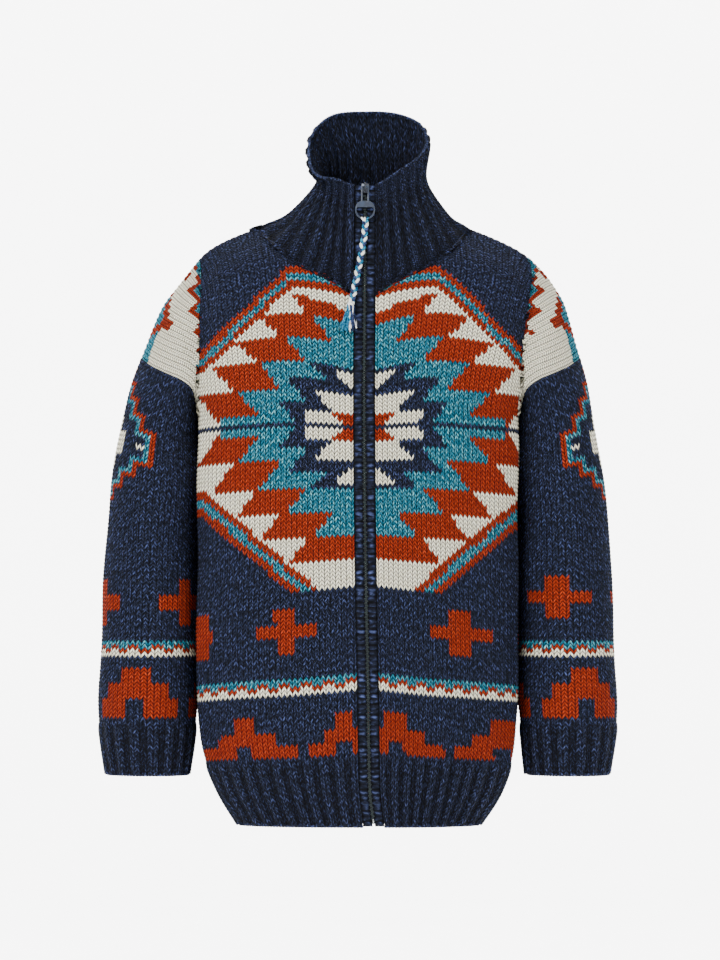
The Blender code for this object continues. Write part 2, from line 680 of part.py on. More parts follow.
def slider():
    """The slider: a plate over the zip's teeth, with the arch that the pull turns in."""
    scene_group = bpy.context.scene.collection
    width, thick, height = SLIDER_PLATE
    plate = bmesh.new()
    bmesh.ops.create_cube(plate, size=1.0)
    bmesh.ops.scale(plate, verts=plate.verts, vec=(width, thick, height))
    bmesh.ops.bevel(plate, geom=plate.edges[:], offset=PLATE_EDGE, segments=1, affect="EDGES", profile=0.5)
    data = bpy.data.meshes.new("slider_plate")
    plate.to_mesh(data)
    plate.free()
    made = bpy.data.objects.new("slider_plate", data)
    scene_group.objects.link(made)
    foot = PLATE_EDGE - thick / 2
    arch = [
        (0.0, foot - ARCH_HEIGHT * math.sin(a), -ARCH_HALF_LENGTH * math.cos(a))
        for a in np.linspace(0.0, math.pi, ARCH_STEPS)]
    wire = bpy.data.objects.new("arch", tube("arch", arch, ARCH_WIRE, 1))
    scene_group.objects.link(wire)
    join = made.modifiers.new("arch", "BOOLEAN")
    join.operation = "UNION"
    join.object = wire
    made.rotation_euler = (-PULL_TILT, 0.0, 0.0)
    made.location = on_pull(0.0, 0.0, -(BAR_OFF_PLATE + thick / 2))
    wire.parent = made
    bpy.context.view_layer.update()
    joined = as_mesh(made)
    bpy.data.objects.remove(wire, do_unlink=True)
    place("zip_slider", joined, STEEL)


def pull_tab():
    """The pull: a link hung on the slider's arch, and a ring whose top is filled in."""
    half, rail = LINK_HALF_WIDTH, LINK_RAIL
    bar = TAB_THICK / 2
    start = math.asin(half / TAB_RING)
    turn = np.linspace(start, 2 * math.pi - start, TAB_RING_STEPS)
    ring = [(TAB_RING * math.sin(a), TAB_RING_MIDDLE - TAB_RING * math.cos(a)) for a in turn]
    outline = [(-half, -bar), (half, -bar)] + ring
    end = TAB_RING_MIDDLE - TAB_RING + TAB_WINDOW_END
    window = [(-half + rail, bar), (half - rail, bar), (half - rail, end), (-half + rail, end)]
    inner = TAB_RING - TAB_RIM
    arc = np.linspace(TAB_SOLID_TOP, 2 * math.pi - TAB_SOLID_TOP, TAB_HOLE_STEPS)
    hole = [(inner * math.sin(a), TAB_RING_MIDDLE - inner * math.cos(a)) for a in arc]
    curve = bpy.data.curves.new("pull_tab", "CURVE")
    curve.dimensions = "2D"
    curve.fill_mode = "BOTH"
    curve.extrude = TAB_THICK / 2
    for loop in (outline, window, hole):
        line = curve.splines.new("POLY")
        line.points.add(len(loop) - 1)
        line.use_cyclic_u = True
        for point, (across, down) in zip(line.points, loop):
            point.co = (across, -down, 0.0, 1.0)
    made = bpy.data.objects.new("pull_tab_outline", curve)
    bpy.context.scene.collection.objects.link(made)
    made.rotation_euler = (math.pi / 2 - PULL_TILT, 0.0, 0.0)
    made.location = PULL_BAR
    bpy.context.view_layer.update()
    place("pull_tab", as_mesh(made), LACQUER)


def pull_cord():
    route = curve_through(CORD_ROUTE, CORD_STEPS)
    place("pull_cord", tube("pull_cord", route, CORD_DIAMETER / 2, 2), AQUA_YARN)


def strand_reach(share):
    """How far along its swing a strand is, at a share of its length."""
    return share ** STRAND_BEND


def grow_strand(mesh, face, number):
    """A strand drawn down out of a face of the tassel's head; each one ends at its own length."""
    middle = face.calc_center_median()
    swing = [middle[k] * STRAND_SPREAD[k] + STRAND_SWING[k] for k in range(2)]
    uneven = (1.0 + math.sin(number * GOLDEN_ANGLE)) / 2
    for step in range(1, TASSEL_STEPS + 1):
        length = STRAND_SHORTEST + (1.0 - STRAND_SHORTEST) * uneven if step == TASSEL_STEPS else 1.0
        before, after = strand_reach((step - 1) / TASSEL_STEPS), strand_reach(step / TASSEL_STEPS)
        across = (after - before) * length
        down = TASSEL_LENGTH / TASSEL_STEPS * length
        face = bmesh.ops.extrude_discrete_faces(mesh, faces=[face])["faces"][0]
        bmesh.ops.translate(mesh, verts=face.verts, vec=(swing[0] * across, swing[1] * across, -down))
        bmesh.ops.scale(mesh, verts=face.verts, vec=(STRAND_TAPER,) * 3,
                        space=Matrix.Translation(-face.calc_center_median()))


def pull_tassel():
    """A knot's head with strands drawn down out of its lower face."""
    radius, height = TASSEL_HEAD
    mesh = bmesh.new()
    bmesh.ops.create_cone(mesh, cap_ends=True, segments=TASSEL_SIDES, radius1=radius * TASSEL_WAIST,
                          radius2=radius, depth=height)
    bottom = min(mesh.faces, key=lambda face: face.calc_center_median().z)
    strands = []
    for _ in range(TASSEL_RINGS):
        made = bmesh.ops.inset_region(
            mesh, faces=[bottom], thickness=radius * TASSEL_RING_WIDTH, use_even_offset=True)
        strands += made["faces"]
    bmesh.ops.inset_individual(mesh, faces=strands, thickness=STRAND_PARTING)
    for number, face in enumerate(strands):
        grow_strand(mesh, face, number)
    top = (TASSEL_TOP[0], TASSEL_TOP[1], TASSEL_TOP[2] - height / 2)
    bmesh.ops.translate(mesh, verts=mesh.verts, vec=top)
    bmesh.ops.recalc_face_normals(mesh, faces=mesh.faces)
    data = bpy.data.meshes.new("pull_tassel")
    mesh.to_mesh(data)
    mesh.free()
    place("pull_tassel", data, AQUA_YARN)


def clear_scene():
    for made in list(bpy.data.objects):
        bpy.data.objects.remove(made, do_unlink=True)
    group = bpy.data.collections.new(COLLECTION)
    bpy.context.scene.collection.children.link(group)


def main():
    clear_scene()
    quarters = body_quarters()
    body_panels(quarters)
    sleeve(-1, "sleeve_left")
    sleeve(1, "sleeve_right")
    collar(quarters)
    zip_and_bands()
    slider()
    pull_tab()
    pull_cord()
    pull_tassel()


main()
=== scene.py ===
"""A bulky-knit zip cardigan, dressed: every panel is a lattice of stitches on its own surface."""

import math

import bmesh
import bpy
import numpy as np
from mathutils import Matrix, Vector


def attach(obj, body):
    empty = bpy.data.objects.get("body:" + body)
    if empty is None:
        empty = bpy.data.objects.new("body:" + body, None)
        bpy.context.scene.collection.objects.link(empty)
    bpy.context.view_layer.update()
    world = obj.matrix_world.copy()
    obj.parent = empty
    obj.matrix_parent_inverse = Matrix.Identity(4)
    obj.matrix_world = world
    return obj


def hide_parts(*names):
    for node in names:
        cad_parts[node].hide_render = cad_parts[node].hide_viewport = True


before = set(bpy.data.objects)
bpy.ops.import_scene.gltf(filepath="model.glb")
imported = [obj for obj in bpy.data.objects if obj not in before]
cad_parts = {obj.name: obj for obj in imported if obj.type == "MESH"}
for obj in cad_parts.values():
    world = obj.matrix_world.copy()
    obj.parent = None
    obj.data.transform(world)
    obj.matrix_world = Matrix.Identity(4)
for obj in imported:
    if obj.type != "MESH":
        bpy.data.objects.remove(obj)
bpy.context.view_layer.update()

# Yarns, in the order of the charts
NAVY, RUST, CREAM, TEAL = range(4)

# Gauge: a wale across and a course up, in metres
WALE = 0.0061
COURSE = 0.00469
SLEEVE_COURSE = 0.00437
WALL = 0.0036

# Lattices, in wales and courses
CHEST_WALES = 34
CREASE_WALES = 28.5
SIDE_WALES = 10
TRUNK_COURSES = 100
CENTRE_COURSE = 97
HEM_COURSES = 17
RIB_WALES = 3
RIB_DEPTH = 0.0026
RIB_SHADE = 0.45
CAP_WALES = 24
CAP_COURSES = 52
SLEEVE_WALES = 54
CUFF_COURSES = 14
COLLAR_WALES = 112
COLLAR_COURSES = 32
COLLAR_RIB_WALES = 4
COLLAR_RIB_DEPTH = 0.0030
BAND_WALES = 60

# Stitch relief
LEG_RISE = 1.0
STITCH_DEPTH = 0.0012
BODY_SWELL = 0.0012
SLEEVE_SWELL = 0.0016

# Tables of the surfaces
CHEST_STEPS = 24
SIDE_STEPS = 8
NECK_STEPS = 16
SLEEVE_STEPS = 40
ROW_POINTS = 60
TABLE_STEP = 2

# Garment sizes
SEAM_GAP = 0.0003
HEM = -0.698
HEM_RIB_TOP = -0.6176
UNDERARM = -0.229
TOP = 0.003
BAND_WIDTH = 0.0121
BAND_GAP = 0.0013
BAND_PROUD = 0.0008
BAND_WALL = 0.0030
ZIP_TOP = 0.0305
CHEST_SQUARE = 2.4
CHEST_ROUND = 0.5
CHEST_DROOP = 2.2
SIDE_DEPTH = 0.45
CREASE_INSET = 0.0020
SIDE_INSET = 0.0007
MIDDLE = (-0.004, 0.0, 0.0)
# How far rows sink near the zip: courses from the medallion's middle, courses down
DIPS = ((-97, -75, -38, -20, 0, 15, 28), (0.0, -1.2, -1.2, 0.0, 1.0, 2.6, 4.0))

# level, half width, front, back, droop
TORSO = np.array((
    (HEM, 0.1392, 0.108, 0.092, 0.000),
    (-0.660, 0.1605, 0.119, 0.104, 0.004),
    (HEM_RIB_TOP, 0.1764, 0.129, 0.116, 0.007),
    (-0.560, 0.1836, 0.135, 0.123, 0.009),
    (-0.400, 0.1842, 0.137, 0.127, 0.011),
    (UNDERARM, 0.1842, 0.133, 0.126, 0.008),
))
# share, centre height, front, back, droop, crease x y z, arm x y z
YOKE = np.array((
    (0.00, UNDERARM, 0.133, 0.1260, 0.008, 0.1815, 0.0600, -0.2360, 0.1828, 0.0300, -0.2365),
    (0.15, -0.208, 0.132, 0.1255, 0.009, 0.1830, 0.0655, -0.2160, 0.1850, 0.0540, -0.2195),
    (0.30, -0.185, 0.129, 0.1240, 0.011, 0.1840, 0.0690, -0.1940, 0.1880, 0.0690, -0.1990),
    (0.50, -0.133, 0.121, 0.1180, 0.018, 0.1840, 0.0640, -0.1500, 0.2000, 0.0725, -0.1690),
    (0.70, -0.080, 0.101, 0.1030, 0.030, 0.1848, 0.0500, -0.1060, 0.2120, 0.0620, -0.1370),
    (0.85, -0.038, 0.072, 0.0780, 0.042, 0.1862, 0.0310, -0.0745, 0.2205, 0.0400, -0.1135),
    (1.00, TOP, 0.000, 0.0000, 0.050, 0.1880, 0.0000, -0.0455, 0.2249, 0.0000, -0.0930),
))
# share of the way from the underarm to the shoulder, point x y z
ARMHOLE = np.array((
    (0.00, 0.1840, 0.0000, -0.2370),
    (0.15, 0.1855, 0.0380, -0.2230),
    (0.30, 0.1905, 0.0655, -0.2020),
    (0.45, 0.2040, 0.0720, -0.1905),
    (0.60, 0.2210, 0.0650, -0.1830),
    (0.75, 0.2380, 0.0480, -0.1750),
    (0.90, 0.2495, 0.0180, -0.1670),
    (1.00, 0.2520, 0.0000, -0.1640),
))
# distance from the zip, height: at the front and at the back
NECKLINE = {
    -1: ((0.012, -0.093), (0.033, -0.080), (0.052, -0.070), (0.074, -0.059), (0.100, -0.042),
         (0.126, -0.013)),
    1: ((0.000, -0.034), (0.050, -0.031), (0.090, -0.024), (0.126, -0.013)),
}
# inner z, outer z, inner x, outer x, forward, half depth
SLEEVE = (
    (-0.2580, -0.2180, 0.1812, 0.2672, 0.000, 0.0680),
    (-0.2950, -0.2750, 0.1812, 0.2785, 0.000, 0.0680),
    (-0.3600, -0.3550, 0.1828, 0.2880, 0.002, 0.0675),
    (-0.4430, -0.4430, 0.1828, 0.2925, 0.004, 0.0670),
    (-0.5200, -0.5200, 0.1830, 0.2955, 0.007, 0.0650),
    (-0.5620, -0.5620, 0.1842, 0.2960, 0.009, 0.0635),
    (-0.5830, -0.5830, 0.1864, 0.2950, 0.010, 0.0620),
    (-0.6176, -0.6176, 0.1900, 0.2920, 0.011, 0.0560),
    (-0.6417, -0.6417, 0.1935, 0.2890, 0.012, 0.0520),
)
SLEEVE_SQUARE = 0.9
# height, how far the garment leans to the side
LEAN = np.array(((-0.698, -0.0035), (-0.60, -0.0048), (-0.40, -0.0048), (-0.20, -0.0030),
                 (-0.12, 0.0010), (-0.07, 0.0050), (-0.02, 0.0005), (0.00, 0.0030)))
# height, across, forward
ZIP_LINE = np.array((
    (-0.698, 0.0135, 0.1080),
    (-0.660, 0.0090, 0.1190),
    (-0.6176, 0.0078, 0.1290),
    (-0.560, 0.0070, 0.1350),
    (-0.400, 0.0040, 0.1370),
    (-0.229, 0.0024, 0.1330),
    (-0.185, 0.0024, 0.1290),
    (-0.114, 0.0028, 0.1155),
    (-0.050, 0.0032, 0.0985),
    (0.000, 0.0035, 0.0875),
    (0.031, 0.0035, 0.0820),
))
# The collar's lines from the zip round the back to the zip: where it turns up, its neck and its rim
COLLAR_TURN = (
    (-0.0125, -0.0985, -0.050), (-0.040, -0.0900, -0.040), (-0.068, -0.0600, -0.012),
    (-0.080, -0.0100, 0.0010), (-0.070, 0.0320, 0.0040), (-0.037, 0.0610, 0.0040),
    (0.0090, 0.0705, 0.0050),
    (0.055, 0.0610, 0.0040), (0.087, 0.0320, 0.0040), (0.094, -0.0150, 0.0010),
    (0.082, -0.0600, -0.012), (0.050, -0.0900, -0.040), (0.0190, -0.0985, -0.050),
)
COLLAR_NECK = (
    (-0.0125, -0.0880, -0.002), (-0.032, -0.0810, 0.0080), (-0.0475, -0.0520, 0.0250),
    (-0.0515, -0.0120, 0.0330), (-0.0450, 0.0300, 0.0400), (-0.0230, 0.0560, 0.0460),
    (0.0110, 0.0640, 0.0480),
    (0.044, 0.0560, 0.0460), (0.0670, 0.0300, 0.0400), (0.0735, -0.0120, 0.0330),
    (0.0670, -0.0520, 0.0220), (0.044, -0.0800, 0.0060), (0.0190, -0.0880, -0.002),
)
COLLAR_RIM = (
    (-0.0115, -0.0820, 0.0305), (-0.030, -0.0830, 0.0370), (-0.0500, -0.0700, 0.0400),
    (-0.0610, -0.0400, 0.0560), (-0.0600, 0.0100, 0.0900), (-0.0360, 0.0500, 0.1160),
    (0.0060, 0.0640, 0.1210),
    (0.042, 0.0560, 0.1180), (0.0680, 0.0250, 0.1050), (0.0760, -0.0150, 0.0830),
    (0.0660, -0.0480, 0.0640), (0.042, -0.0710, 0.0470), (0.0180, -0.0820, 0.0305),
)
COLLAR_SHARES = (0.0, 0.38, 0.62, 1.0)
COLLAR_LAP = 0.0025
COLLAR_SUNK = 0.0008
NECK_MIDDLE = (0.008, -0.01, 0.0)

# Edges and zip
CAST_OFF_RADIUS = 0.0011
CAST_OFF_TURN = 0.0075
CAST_OFF_INSET = 0.0016
TAPE_GAP = 0.0003
TAPE_WIDTH = 0.0122
TAPE_WALL = 0.0008
TAPE_BEHIND = 0.0031
TAPE_ENDS = (HEM + 0.003, 0.026)
TEETH_ENDS = (HEM + 0.004, 0.022)
TOOTH_PITCH = 0.0026
TOOTH_SIZE = (0.0036, 0.0026, 0.0019)
SLIDER_SIZE = (0.0088, 0.0022, 0.0108)
SLIDER_TAPER = 0.72
ARCH_HALF = 0.0045
ARCH_HEIGHT = 0.0042
ARCH_RADIUS = 0.0008

# Pull
PULL_TILT = math.radians(11.0)
PULL_BAR = (0.0035, -0.0872, 0.0290)
TAB_THICK = 0.0018
TAB_RING = 0.0115
TAB_RING_MIDDLE = 0.0272
TAB_RIM = 0.0017
TAB_SOLID = math.radians(72.0)
TAB_ROUNDING = 0.0004
LINK_HALF_WIDTH = 0.0045
LINK_RAIL = 0.0017
PLAIT_TURN = 0.0165
STRAND_RADIUS = 0.0018
CORD_ROUTE = (
    (0.0040, -0.0950, -0.0098),
    (0.0034, -0.0970, -0.0200),
    (0.0017, -0.0999, -0.0330),
    (-0.0012, -0.1039, -0.0500),
    (-0.0045, -0.1083, -0.0670),
    (-0.0079, -0.1130, -0.0840),
    (-0.0110, -0.1174, -0.0995),
    (-0.0117, -0.1185, -0.1032),
)
TASSEL_TOP = (-0.0123, -0.1206, -0.1052)
TASSEL_LENGTH = 0.0320
TASSEL_ROOT = 0.0028


# Curves and surfaces

def smooth(knots, values, at):
    """A smooth curve through values, one row at each knot, read at one or more places."""
    knots = np.asarray(knots, float)
    values = np.asarray(values, float)
    at = np.clip(np.asarray(at, float), knots[0], knots[-1])
    slopes = np.gradient(values, knots, axis=0)
    i = np.clip(np.searchsorted(knots, at) - 1, 0, len(knots) - 2)
    span = knots[i + 1] - knots[i]
    s = (at - knots[i]) / span
    shape = s.shape + (1,) * (values.ndim - 1)
    s = s.reshape(shape)
    span = span.reshape(shape)
    start = (1 + 2 * s) * (1 - s) ** 2 * values[i] + s * (1 - s) ** 2 * span * slopes[i]
    end = s * s * (3 - 2 * s) * values[i + 1] + s * s * (s - 1) * span * slopes[i + 1]
    return start + end


def lengths_along(points):
    steps = np.linalg.norm(np.diff(points, axis=0), axis=1)
    return np.concatenate([[0.0], np.cumsum(steps)])


def along(points, shares):
    """Points at the given shares of a line's length."""
    length = lengths_along(points)
    at = np.asarray(shares, float) * length[-1]
    return np.stack([np.interp(at, length, points[:, k]) for k in range(3)], axis=1)


def curve_through(points, count=60):
    points = np.asarray(points, float)
    knots = lengths_along(points)
    return smooth(knots, points, np.linspace(0.0, knots[-1], count))


def lean(z):
    return smooth(LEAN[:, 0], LEAN[:, 1], z)


def zip_point(z):
    return smooth(ZIP_LINE[:, 0], ZIP_LINE[:, 1:], z)


def chest_curve(crease, level, depth, across):
    """Depth and height of the chest at shares of the way across to the crease."""
    forward = crease[..., 1] + (depth - crease[..., 1]) * (1.0 - across ** CHEST_SQUARE) ** CHEST_ROUND
    down = level + (crease[..., 2] - level) * across ** CHEST_DROOP
    return forward, down


YOKE_SHARES = np.linspace(0.0, 1.0, 201)
yoke_rows = smooth(YOKE[:, 0], YOKE, YOKE_SHARES)
yoke_line = np.stack(chest_curve(yoke_rows[:, 5:8], yoke_rows[:, 1], yoke_rows[:, 2], 0.35), axis=1)
YOKE_REACH = lengths_along(yoke_line)
YOKE_COURSES = 2 * round(YOKE_REACH[-1] / COURSE / 2)
BODY_COURSES = TRUNK_COURSES + YOKE_COURSES


def yoke_share(course):
    return np.interp((course - TRUNK_COURSES) / YOKE_COURSES * YOKE_REACH[-1], YOKE_REACH, YOKE_SHARES)


def body_row(course, face, chest_shares, side_shares):
    """A row of a body quarter on the +X side, from the centre to the crease and on to the edge."""
    depth_index = 2 if face < 0 else 3
    if course > TRUNK_COURSES:
        share = yoke_share(course)
        row = smooth(YOKE[:, 0], YOKE, share)
        level, depth, droop, crease, arm = row[1], row[depth_index], row[4], row[5:8], row[8:11]
        edge = smooth(ARMHOLE[:, 0], ARMHOLE[:, 1:], share)
    else:
        row = smooth(TORSO[:, 0], TORSO, HEM + course * COURSE)
        level, half, depth, droop = row[0], row[1], row[depth_index], row[4]
        side_depth = SIDE_DEPTH * min(row[2], row[3])
        crease = np.array([half - CREASE_INSET, side_depth, level - droop])
        arm = np.array([half - SIDE_INSET, side_depth / 2, level - droop])
        edge = np.array([half, 0.0, level - droop])
    across = np.sin(np.linspace(0.0, math.pi / 2, ROW_POINTS))
    forward, down = chest_curve(crease, level, depth, across)
    chest = np.stack([across * crease[0], forward, down], axis=1)
    side = curve_through([crease, arm, edge])
    row = np.concatenate([along(chest, chest_shares), along(side, side_shares)[1:]])
    return row * (1.0, face, 1.0)


def body_table(face, side):
    """The outer surface of a body quarter: rows from the hem, columns from the centre."""
    chest_shares = np.linspace(0.0, 1.0, CHEST_STEPS + 1)
    side_shares = np.linspace(0.0, 1.0, SIDE_STEPS + 1)
    courses = np.arange(0, BODY_COURSES + 1, TABLE_STEP)
    table = np.array([body_row(c, face, chest_shares, side_shares) for c in courses])
    soft = slice(CHEST_STEPS - 3, CHEST_STEPS + 4)
    high = courses >= TRUNK_COURSES
    for _ in range(4):
        blurred = (table[:, :-2] + 2 * table[:, 1:-1] + table[:, 2:]) / 4
        table[high, soft] = blurred[high, soft.start - 1:soft.stop - 1]
    table[:, :, 0] = side * table[:, :, 0] + lean(table[:, :, 2])
    if face < 0:
        start = zip_point(table[:, 0, 2])[:, 0] + side * (BAND_WIDTH + SEAM_GAP)
        share = np.clip(np.arange(table.shape[1]) / NECK_STEPS, 0.0, 1.0)
        table[:, :, 0] += (start - table[:, 0, 0])[:, None] * (1.0 - share)[None, :]
    return table


def neck_courses(table, face):
    """For each column of a table, the course at which the neckline cuts it off."""
    line = np.array(NECKLINE[face])
    tops = np.full(table.shape[1], float(BODY_COURSES))
    courses = np.arange(0, BODY_COURSES + 1, TABLE_STEP)
    yoke = courses >= TRUNK_COURSES
    for i in range(NECK_STEPS):
        points = table[yoke, i]
        middle = zip_point(points[:, 2])[:, 0]
        height = np.interp(np.abs(points[:, 0] - middle), line[:, 0], line[:, 1])
        tops[i] = np.interp(0.0, points[:, 2] - height, courses[yoke])
    return tops


def facings(table, out, round_it=False):
    """Unit normals of a table of points; out is a rough outward direction at each point."""
    across = np.gradient(table, axis=1)
    if round_it:
        across = (np.roll(table, -1, axis=1) - np.roll(table, 1, axis=1)) / 2
    normal = np.cross(across, np.gradient(table, axis=0))
    normal /= np.maximum(np.linalg.norm(normal, axis=2, keepdims=True), 1e-12)
    return normal * np.sign((normal * out).sum(axis=2).mean())


def cubic(f):
    """Weights of four neighbours, for a smooth curve through the middle two."""
    return (-f / 2 + f ** 2 - f ** 3 / 2, 1 - 2.5 * f ** 2 + 1.5 * f ** 3,
            f / 2 + 2 * f ** 2 - 1.5 * f ** 3, -f ** 2 / 2 + f ** 3 / 2)


def sample(table, rows, columns, round_it=False):
    """Smooth values of a table at fractions of its rows and columns."""
    last_row, last_column = table.shape[0] - 1, table.shape[1] - 1
    rows = np.clip(rows, 0, last_row)
    r = np.clip(np.floor(rows).astype(int), 0, last_row - 1)
    c = np.floor(columns).astype(int)
    if not round_it:
        columns = np.clip(columns, 0, last_column)
        c = np.clip(c, 0, last_column - 1)
    row_weights, column_weights = cubic(rows - r), cubic(columns - c)
    total = 0.0
    for i in range(4):
        ri = np.clip(r - 1 + i, 0, last_row)
        for j in range(4):
            cj = c - 1 + j
            cj = cj % (last_column + 1) if round_it else np.clip(cj, 0, last_column)
            total = total + (row_weights[i] * column_weights[j])[:, None] * table[ri, cj]
    return total


class Surface:
    """A table of points with its normals."""

    def __init__(self, table, out, round_it=False):
        self.table = table
        self.normals = facings(table, out, round_it)
        self.round_it = round_it

    def at(self, rows, columns):
        points = sample(self.table, rows, columns, self.round_it)
        normals = sample(self.normals, rows, columns, self.round_it)
        return points, normals / np.linalg.norm(normals, axis=1, keepdims=True)


def outward(table, centre):
    out = table - np.asarray(centre)
    out[:, :, 2] = 0.0
    return out


# Charts

def teeth(rows, table):
    """The column of a serrated edge at each row: first row, its column, the tooth's last column."""
    table = np.asarray(table, float)
    i = np.clip(np.searchsorted(table[:, 0], rows, side="right") - 1, 0, len(table) - 2)
    share = np.clip((rows - table[i, 0]) / (table[i + 1, 0] - table[i, 0]), 0.0, 1.0)
    return table[i, 1] + (table[i, 2] - table[i, 1]) * share


CREAM_TEETH = ((0, 25.0, 25.0), (1, 25.0, 29.5), (9, 22.6, 27.0), (16, 18.5, 22.5), (22, 14.0, 18.0),
               (28, 9.0, 12.5), (34, -1.0, -1.0), (60, -1.0, -1.0))
TEAL_TEETH = ((0, 24.5, 24.5), (3, 18.0, 22.0), (9, 13.8, 18.0), (16, 9.2, 13.2), (22, 4.2, 8.2),
              (28, -1.0, -1.0), (60, -1.0, -1.0))
NAVY_TEETH = ((0, 10.8, 10.8), (1, 10.8, 14.2), (6, 8.8, 12.8), (12, 5.2, 8.4), (16, -1.0, -1.0),
              (60, -1.0, -1.0))
FLAMES = ((0, 8.5, 8.5), (1, 8.5, 9.9), (4, 4.2, 7.9), (9, -1.0, -1.0), (10, 0.3, 4.3),
          (15, -1.0, -1.0), (60, -1.0, -1.0))
BORDER_SLOPE = 1.2
BORDER_CORNER = 12.5
BORDER_STRIPES = (1.9, 3.8, 5.6)
MEDALLION_COURSES = 40
# along the neckline: its course at the zip and its slope, then how far down each stripe reaches, how deep
# inside the border it begins, and its yarn
ROOF = (39.9, 0.06)
ROOF_STRIPES = ((5.8, 3.7, RUST), (3.9, 1.9, TEAL), (1.9, 0.0, RUST))


def medallion(a, b, roofed):
    """The serrated medallion's yarn at wales a from the centre and courses b from its middle."""
    m = np.abs(b)
    depth = BORDER_CORNER + (MEDALLION_COURSES - m) / BORDER_SLOPE - a
    yarn = np.full(a.shape, NAVY)
    field = np.full(a.shape, CREAM)
    field[a < teeth(m, CREAM_TEETH)] = RUST
    field[a < teeth(m, TEAL_TEETH)] = TEAL
    field[a < teeth(m, NAVY_TEETH)] = NAVY
    field[a < teeth(m, FLAMES)] = CREAM
    field[(m < 4) & (a < 1.2 + 0.9 * m)] = RUST
    field[(b == 0)] = NAVY
    field[depth < BORDER_STRIPES[2]] = RUST
    field[depth < BORDER_STRIPES[1]] = TEAL
    field[depth < BORDER_STRIPES[0]] = RUST
    inside = (depth > 0) & (m <= MEDALLION_COURSES)
    if roofed:
        under_roof = ROOF[0] + ROOF[1] * a - b
        near = (a < BORDER_CORNER + 1.5) & (b > 0)
        field[near & (under_roof < 8.0 + 0.12 * (12 - a)) & (depth > BORDER_STRIPES[2])] = CREAM
        for reach, least_depth, colour in ROOF_STRIPES:
            field[near & (under_roof < reach) & (depth > least_depth)] = colour
        inside &= under_roof > 0
    yarn[inside] = field[inside]
    return yarn


def cross(yarn, a, b, half=6, bar=2):
    """A rust cross in place, at wales a and courses b from its middle."""
    yarn[((np.abs(a) < bar) & (np.abs(b) < half)) | ((np.abs(a) < half) & (np.abs(b) < bar))] = RUST


def repeat(a, middle, period):
    return (a - middle + period / 2) % period - period / 2


def zigzag(yarn, column, row):
    """Four courses, from the lowest: cream, a rust zigzag over two, teal."""
    rising = column % 4 < 2
    yarn[row == 0] = CREAM
    yarn[row == 1] = np.where(rising, CREAM, RUST)[row == 1]
    yarn[row == 2] = np.where(rising, RUST, TEAL)[row == 2]
    yarn[row == 3] = TEAL


def pyramid(yarn, a, row, tiers):
    """Rust steps with a notch below; tiers are (first row, last row, half width)."""
    for first, last, half in tiers:
        yarn[(row >= first) & (row <= last) & (np.abs(a) < half)] = RUST
    first, last, _ = tiers[0]
    yarn[(row >= first) & (row <= last) & (np.abs(a) < 1.6)] = NAVY


# The hem draws its wales together: wales as seen from the front, and as counted
HEM_SEEN = (0.0, 2.8, 8.7, 10.8, 15.5, 19.0, 22.5, 25.8, 29.0, 60.0)
HEM_COUNTED = (0.0, 3.0, 12.0, 14.0, 17.5, 20.5, 24.5, 28.5, 32.0, 63.0)
FOLD_SEEN = (0.0, 26.6, 27.6, 60.0)
FOLD_COUNTED = (0.0, 26.6, 31.0, 63.4)


def body_yarn(wale, course, seen, cross_at, roofed, gathered):
    """A body stitch's yarn; seen is how many wales from the zip it seems to be from the front."""
    yarn = medallion(seen, course - CENTRE_COURSE, roofed)
    low = course < CENTRE_COURSE - 42
    lower = np.full(seen.shape, NAVY)
    counted = np.interp(seen, FOLD_SEEN, FOLD_COUNTED) if gathered else seen
    cross(lower, repeat(counted, cross_at, 20.0), course + 0.5 - 47.5)
    lower[seen < 3.5] = NAVY
    zigzag(lower, wale.astype(int), course - 32)
    counted = np.interp(seen, HEM_SEEN, HEM_COUNTED) if gathered else seen
    pyramid(lower, repeat(counted, 3.0, 20.0), course, ((17, 19, 9.0), (20, 22, 5.5), (23, 26, 2.4)))
    yarn[low] = lower[low]
    return yarn


DIAMOND_COURSE = 84
DIAMOND_RINGS = (RUST, TEAL, NAVY, NAVY, NAVY, CREAM, CREAM, CREAM, RUST, NAVY)


def sleeve_yarn(wale, course, cross_at, pyramid_at, cross_course):
    """A sleeve stitch's yarn: a stepped diamond on the outer arm, with crosses, zigzag and pyramids below."""
    a = wale + 0.5
    yarn = np.full(a.shape, NAVY)
    cross(yarn, repeat(a, cross_at, 18.0), course + 0.5 - cross_course)
    zigzag(yarn, (np.floor(a).astype(int) + 1) % SLEEVE_WALES, course - 31)
    pyramid(yarn, repeat(a, pyramid_at, 18.0), course, ((15, 19, 8.0), (20, 23, 5.2), (24, 27, 2.8)))
    across = np.abs(a - SLEEVE_WALES / 2 + 0.5)
    up = np.abs(course - DIAMOND_COURSE)
    for ring, colour in enumerate(DIAMOND_RINGS):
        half = 13.0 - 3.0 * np.floor((np.maximum(up + ring - 4, 0) + 2) / 3) - ring
        yarn[across < half] = colour
    yarn[(up < 1) & (np.abs(across - 9.5) < 0.6)] = CREAM
    return yarn


# Pennants along the cap's crease: height in metres, then how far each yarn reaches out, in millimetres
PENNANT_HEIGHTS = (-0.160, -0.158, -0.156, -0.154, -0.142, -0.140, -0.136, -0.130, -0.124, -0.121, -0.116,
                   -0.111, -0.106, -0.103, -0.098, -0.094, -0.088, -0.084, -0.080, -0.074, -0.063, -0.050)
RUST_REACH = (0, 4, 3, 0, 0, 3, 10, 3, 2, 5, 10, 17, 7, 4, 9, 13, 19, 13, 4, 5, 8, 11)
TEAL_REACH = (0, 0, 0, 0, 0, 0, 0, 0, 0, 0, 0, 4, 3, 0, 1, 4, 8, 7, 0, 2, 5, 5)


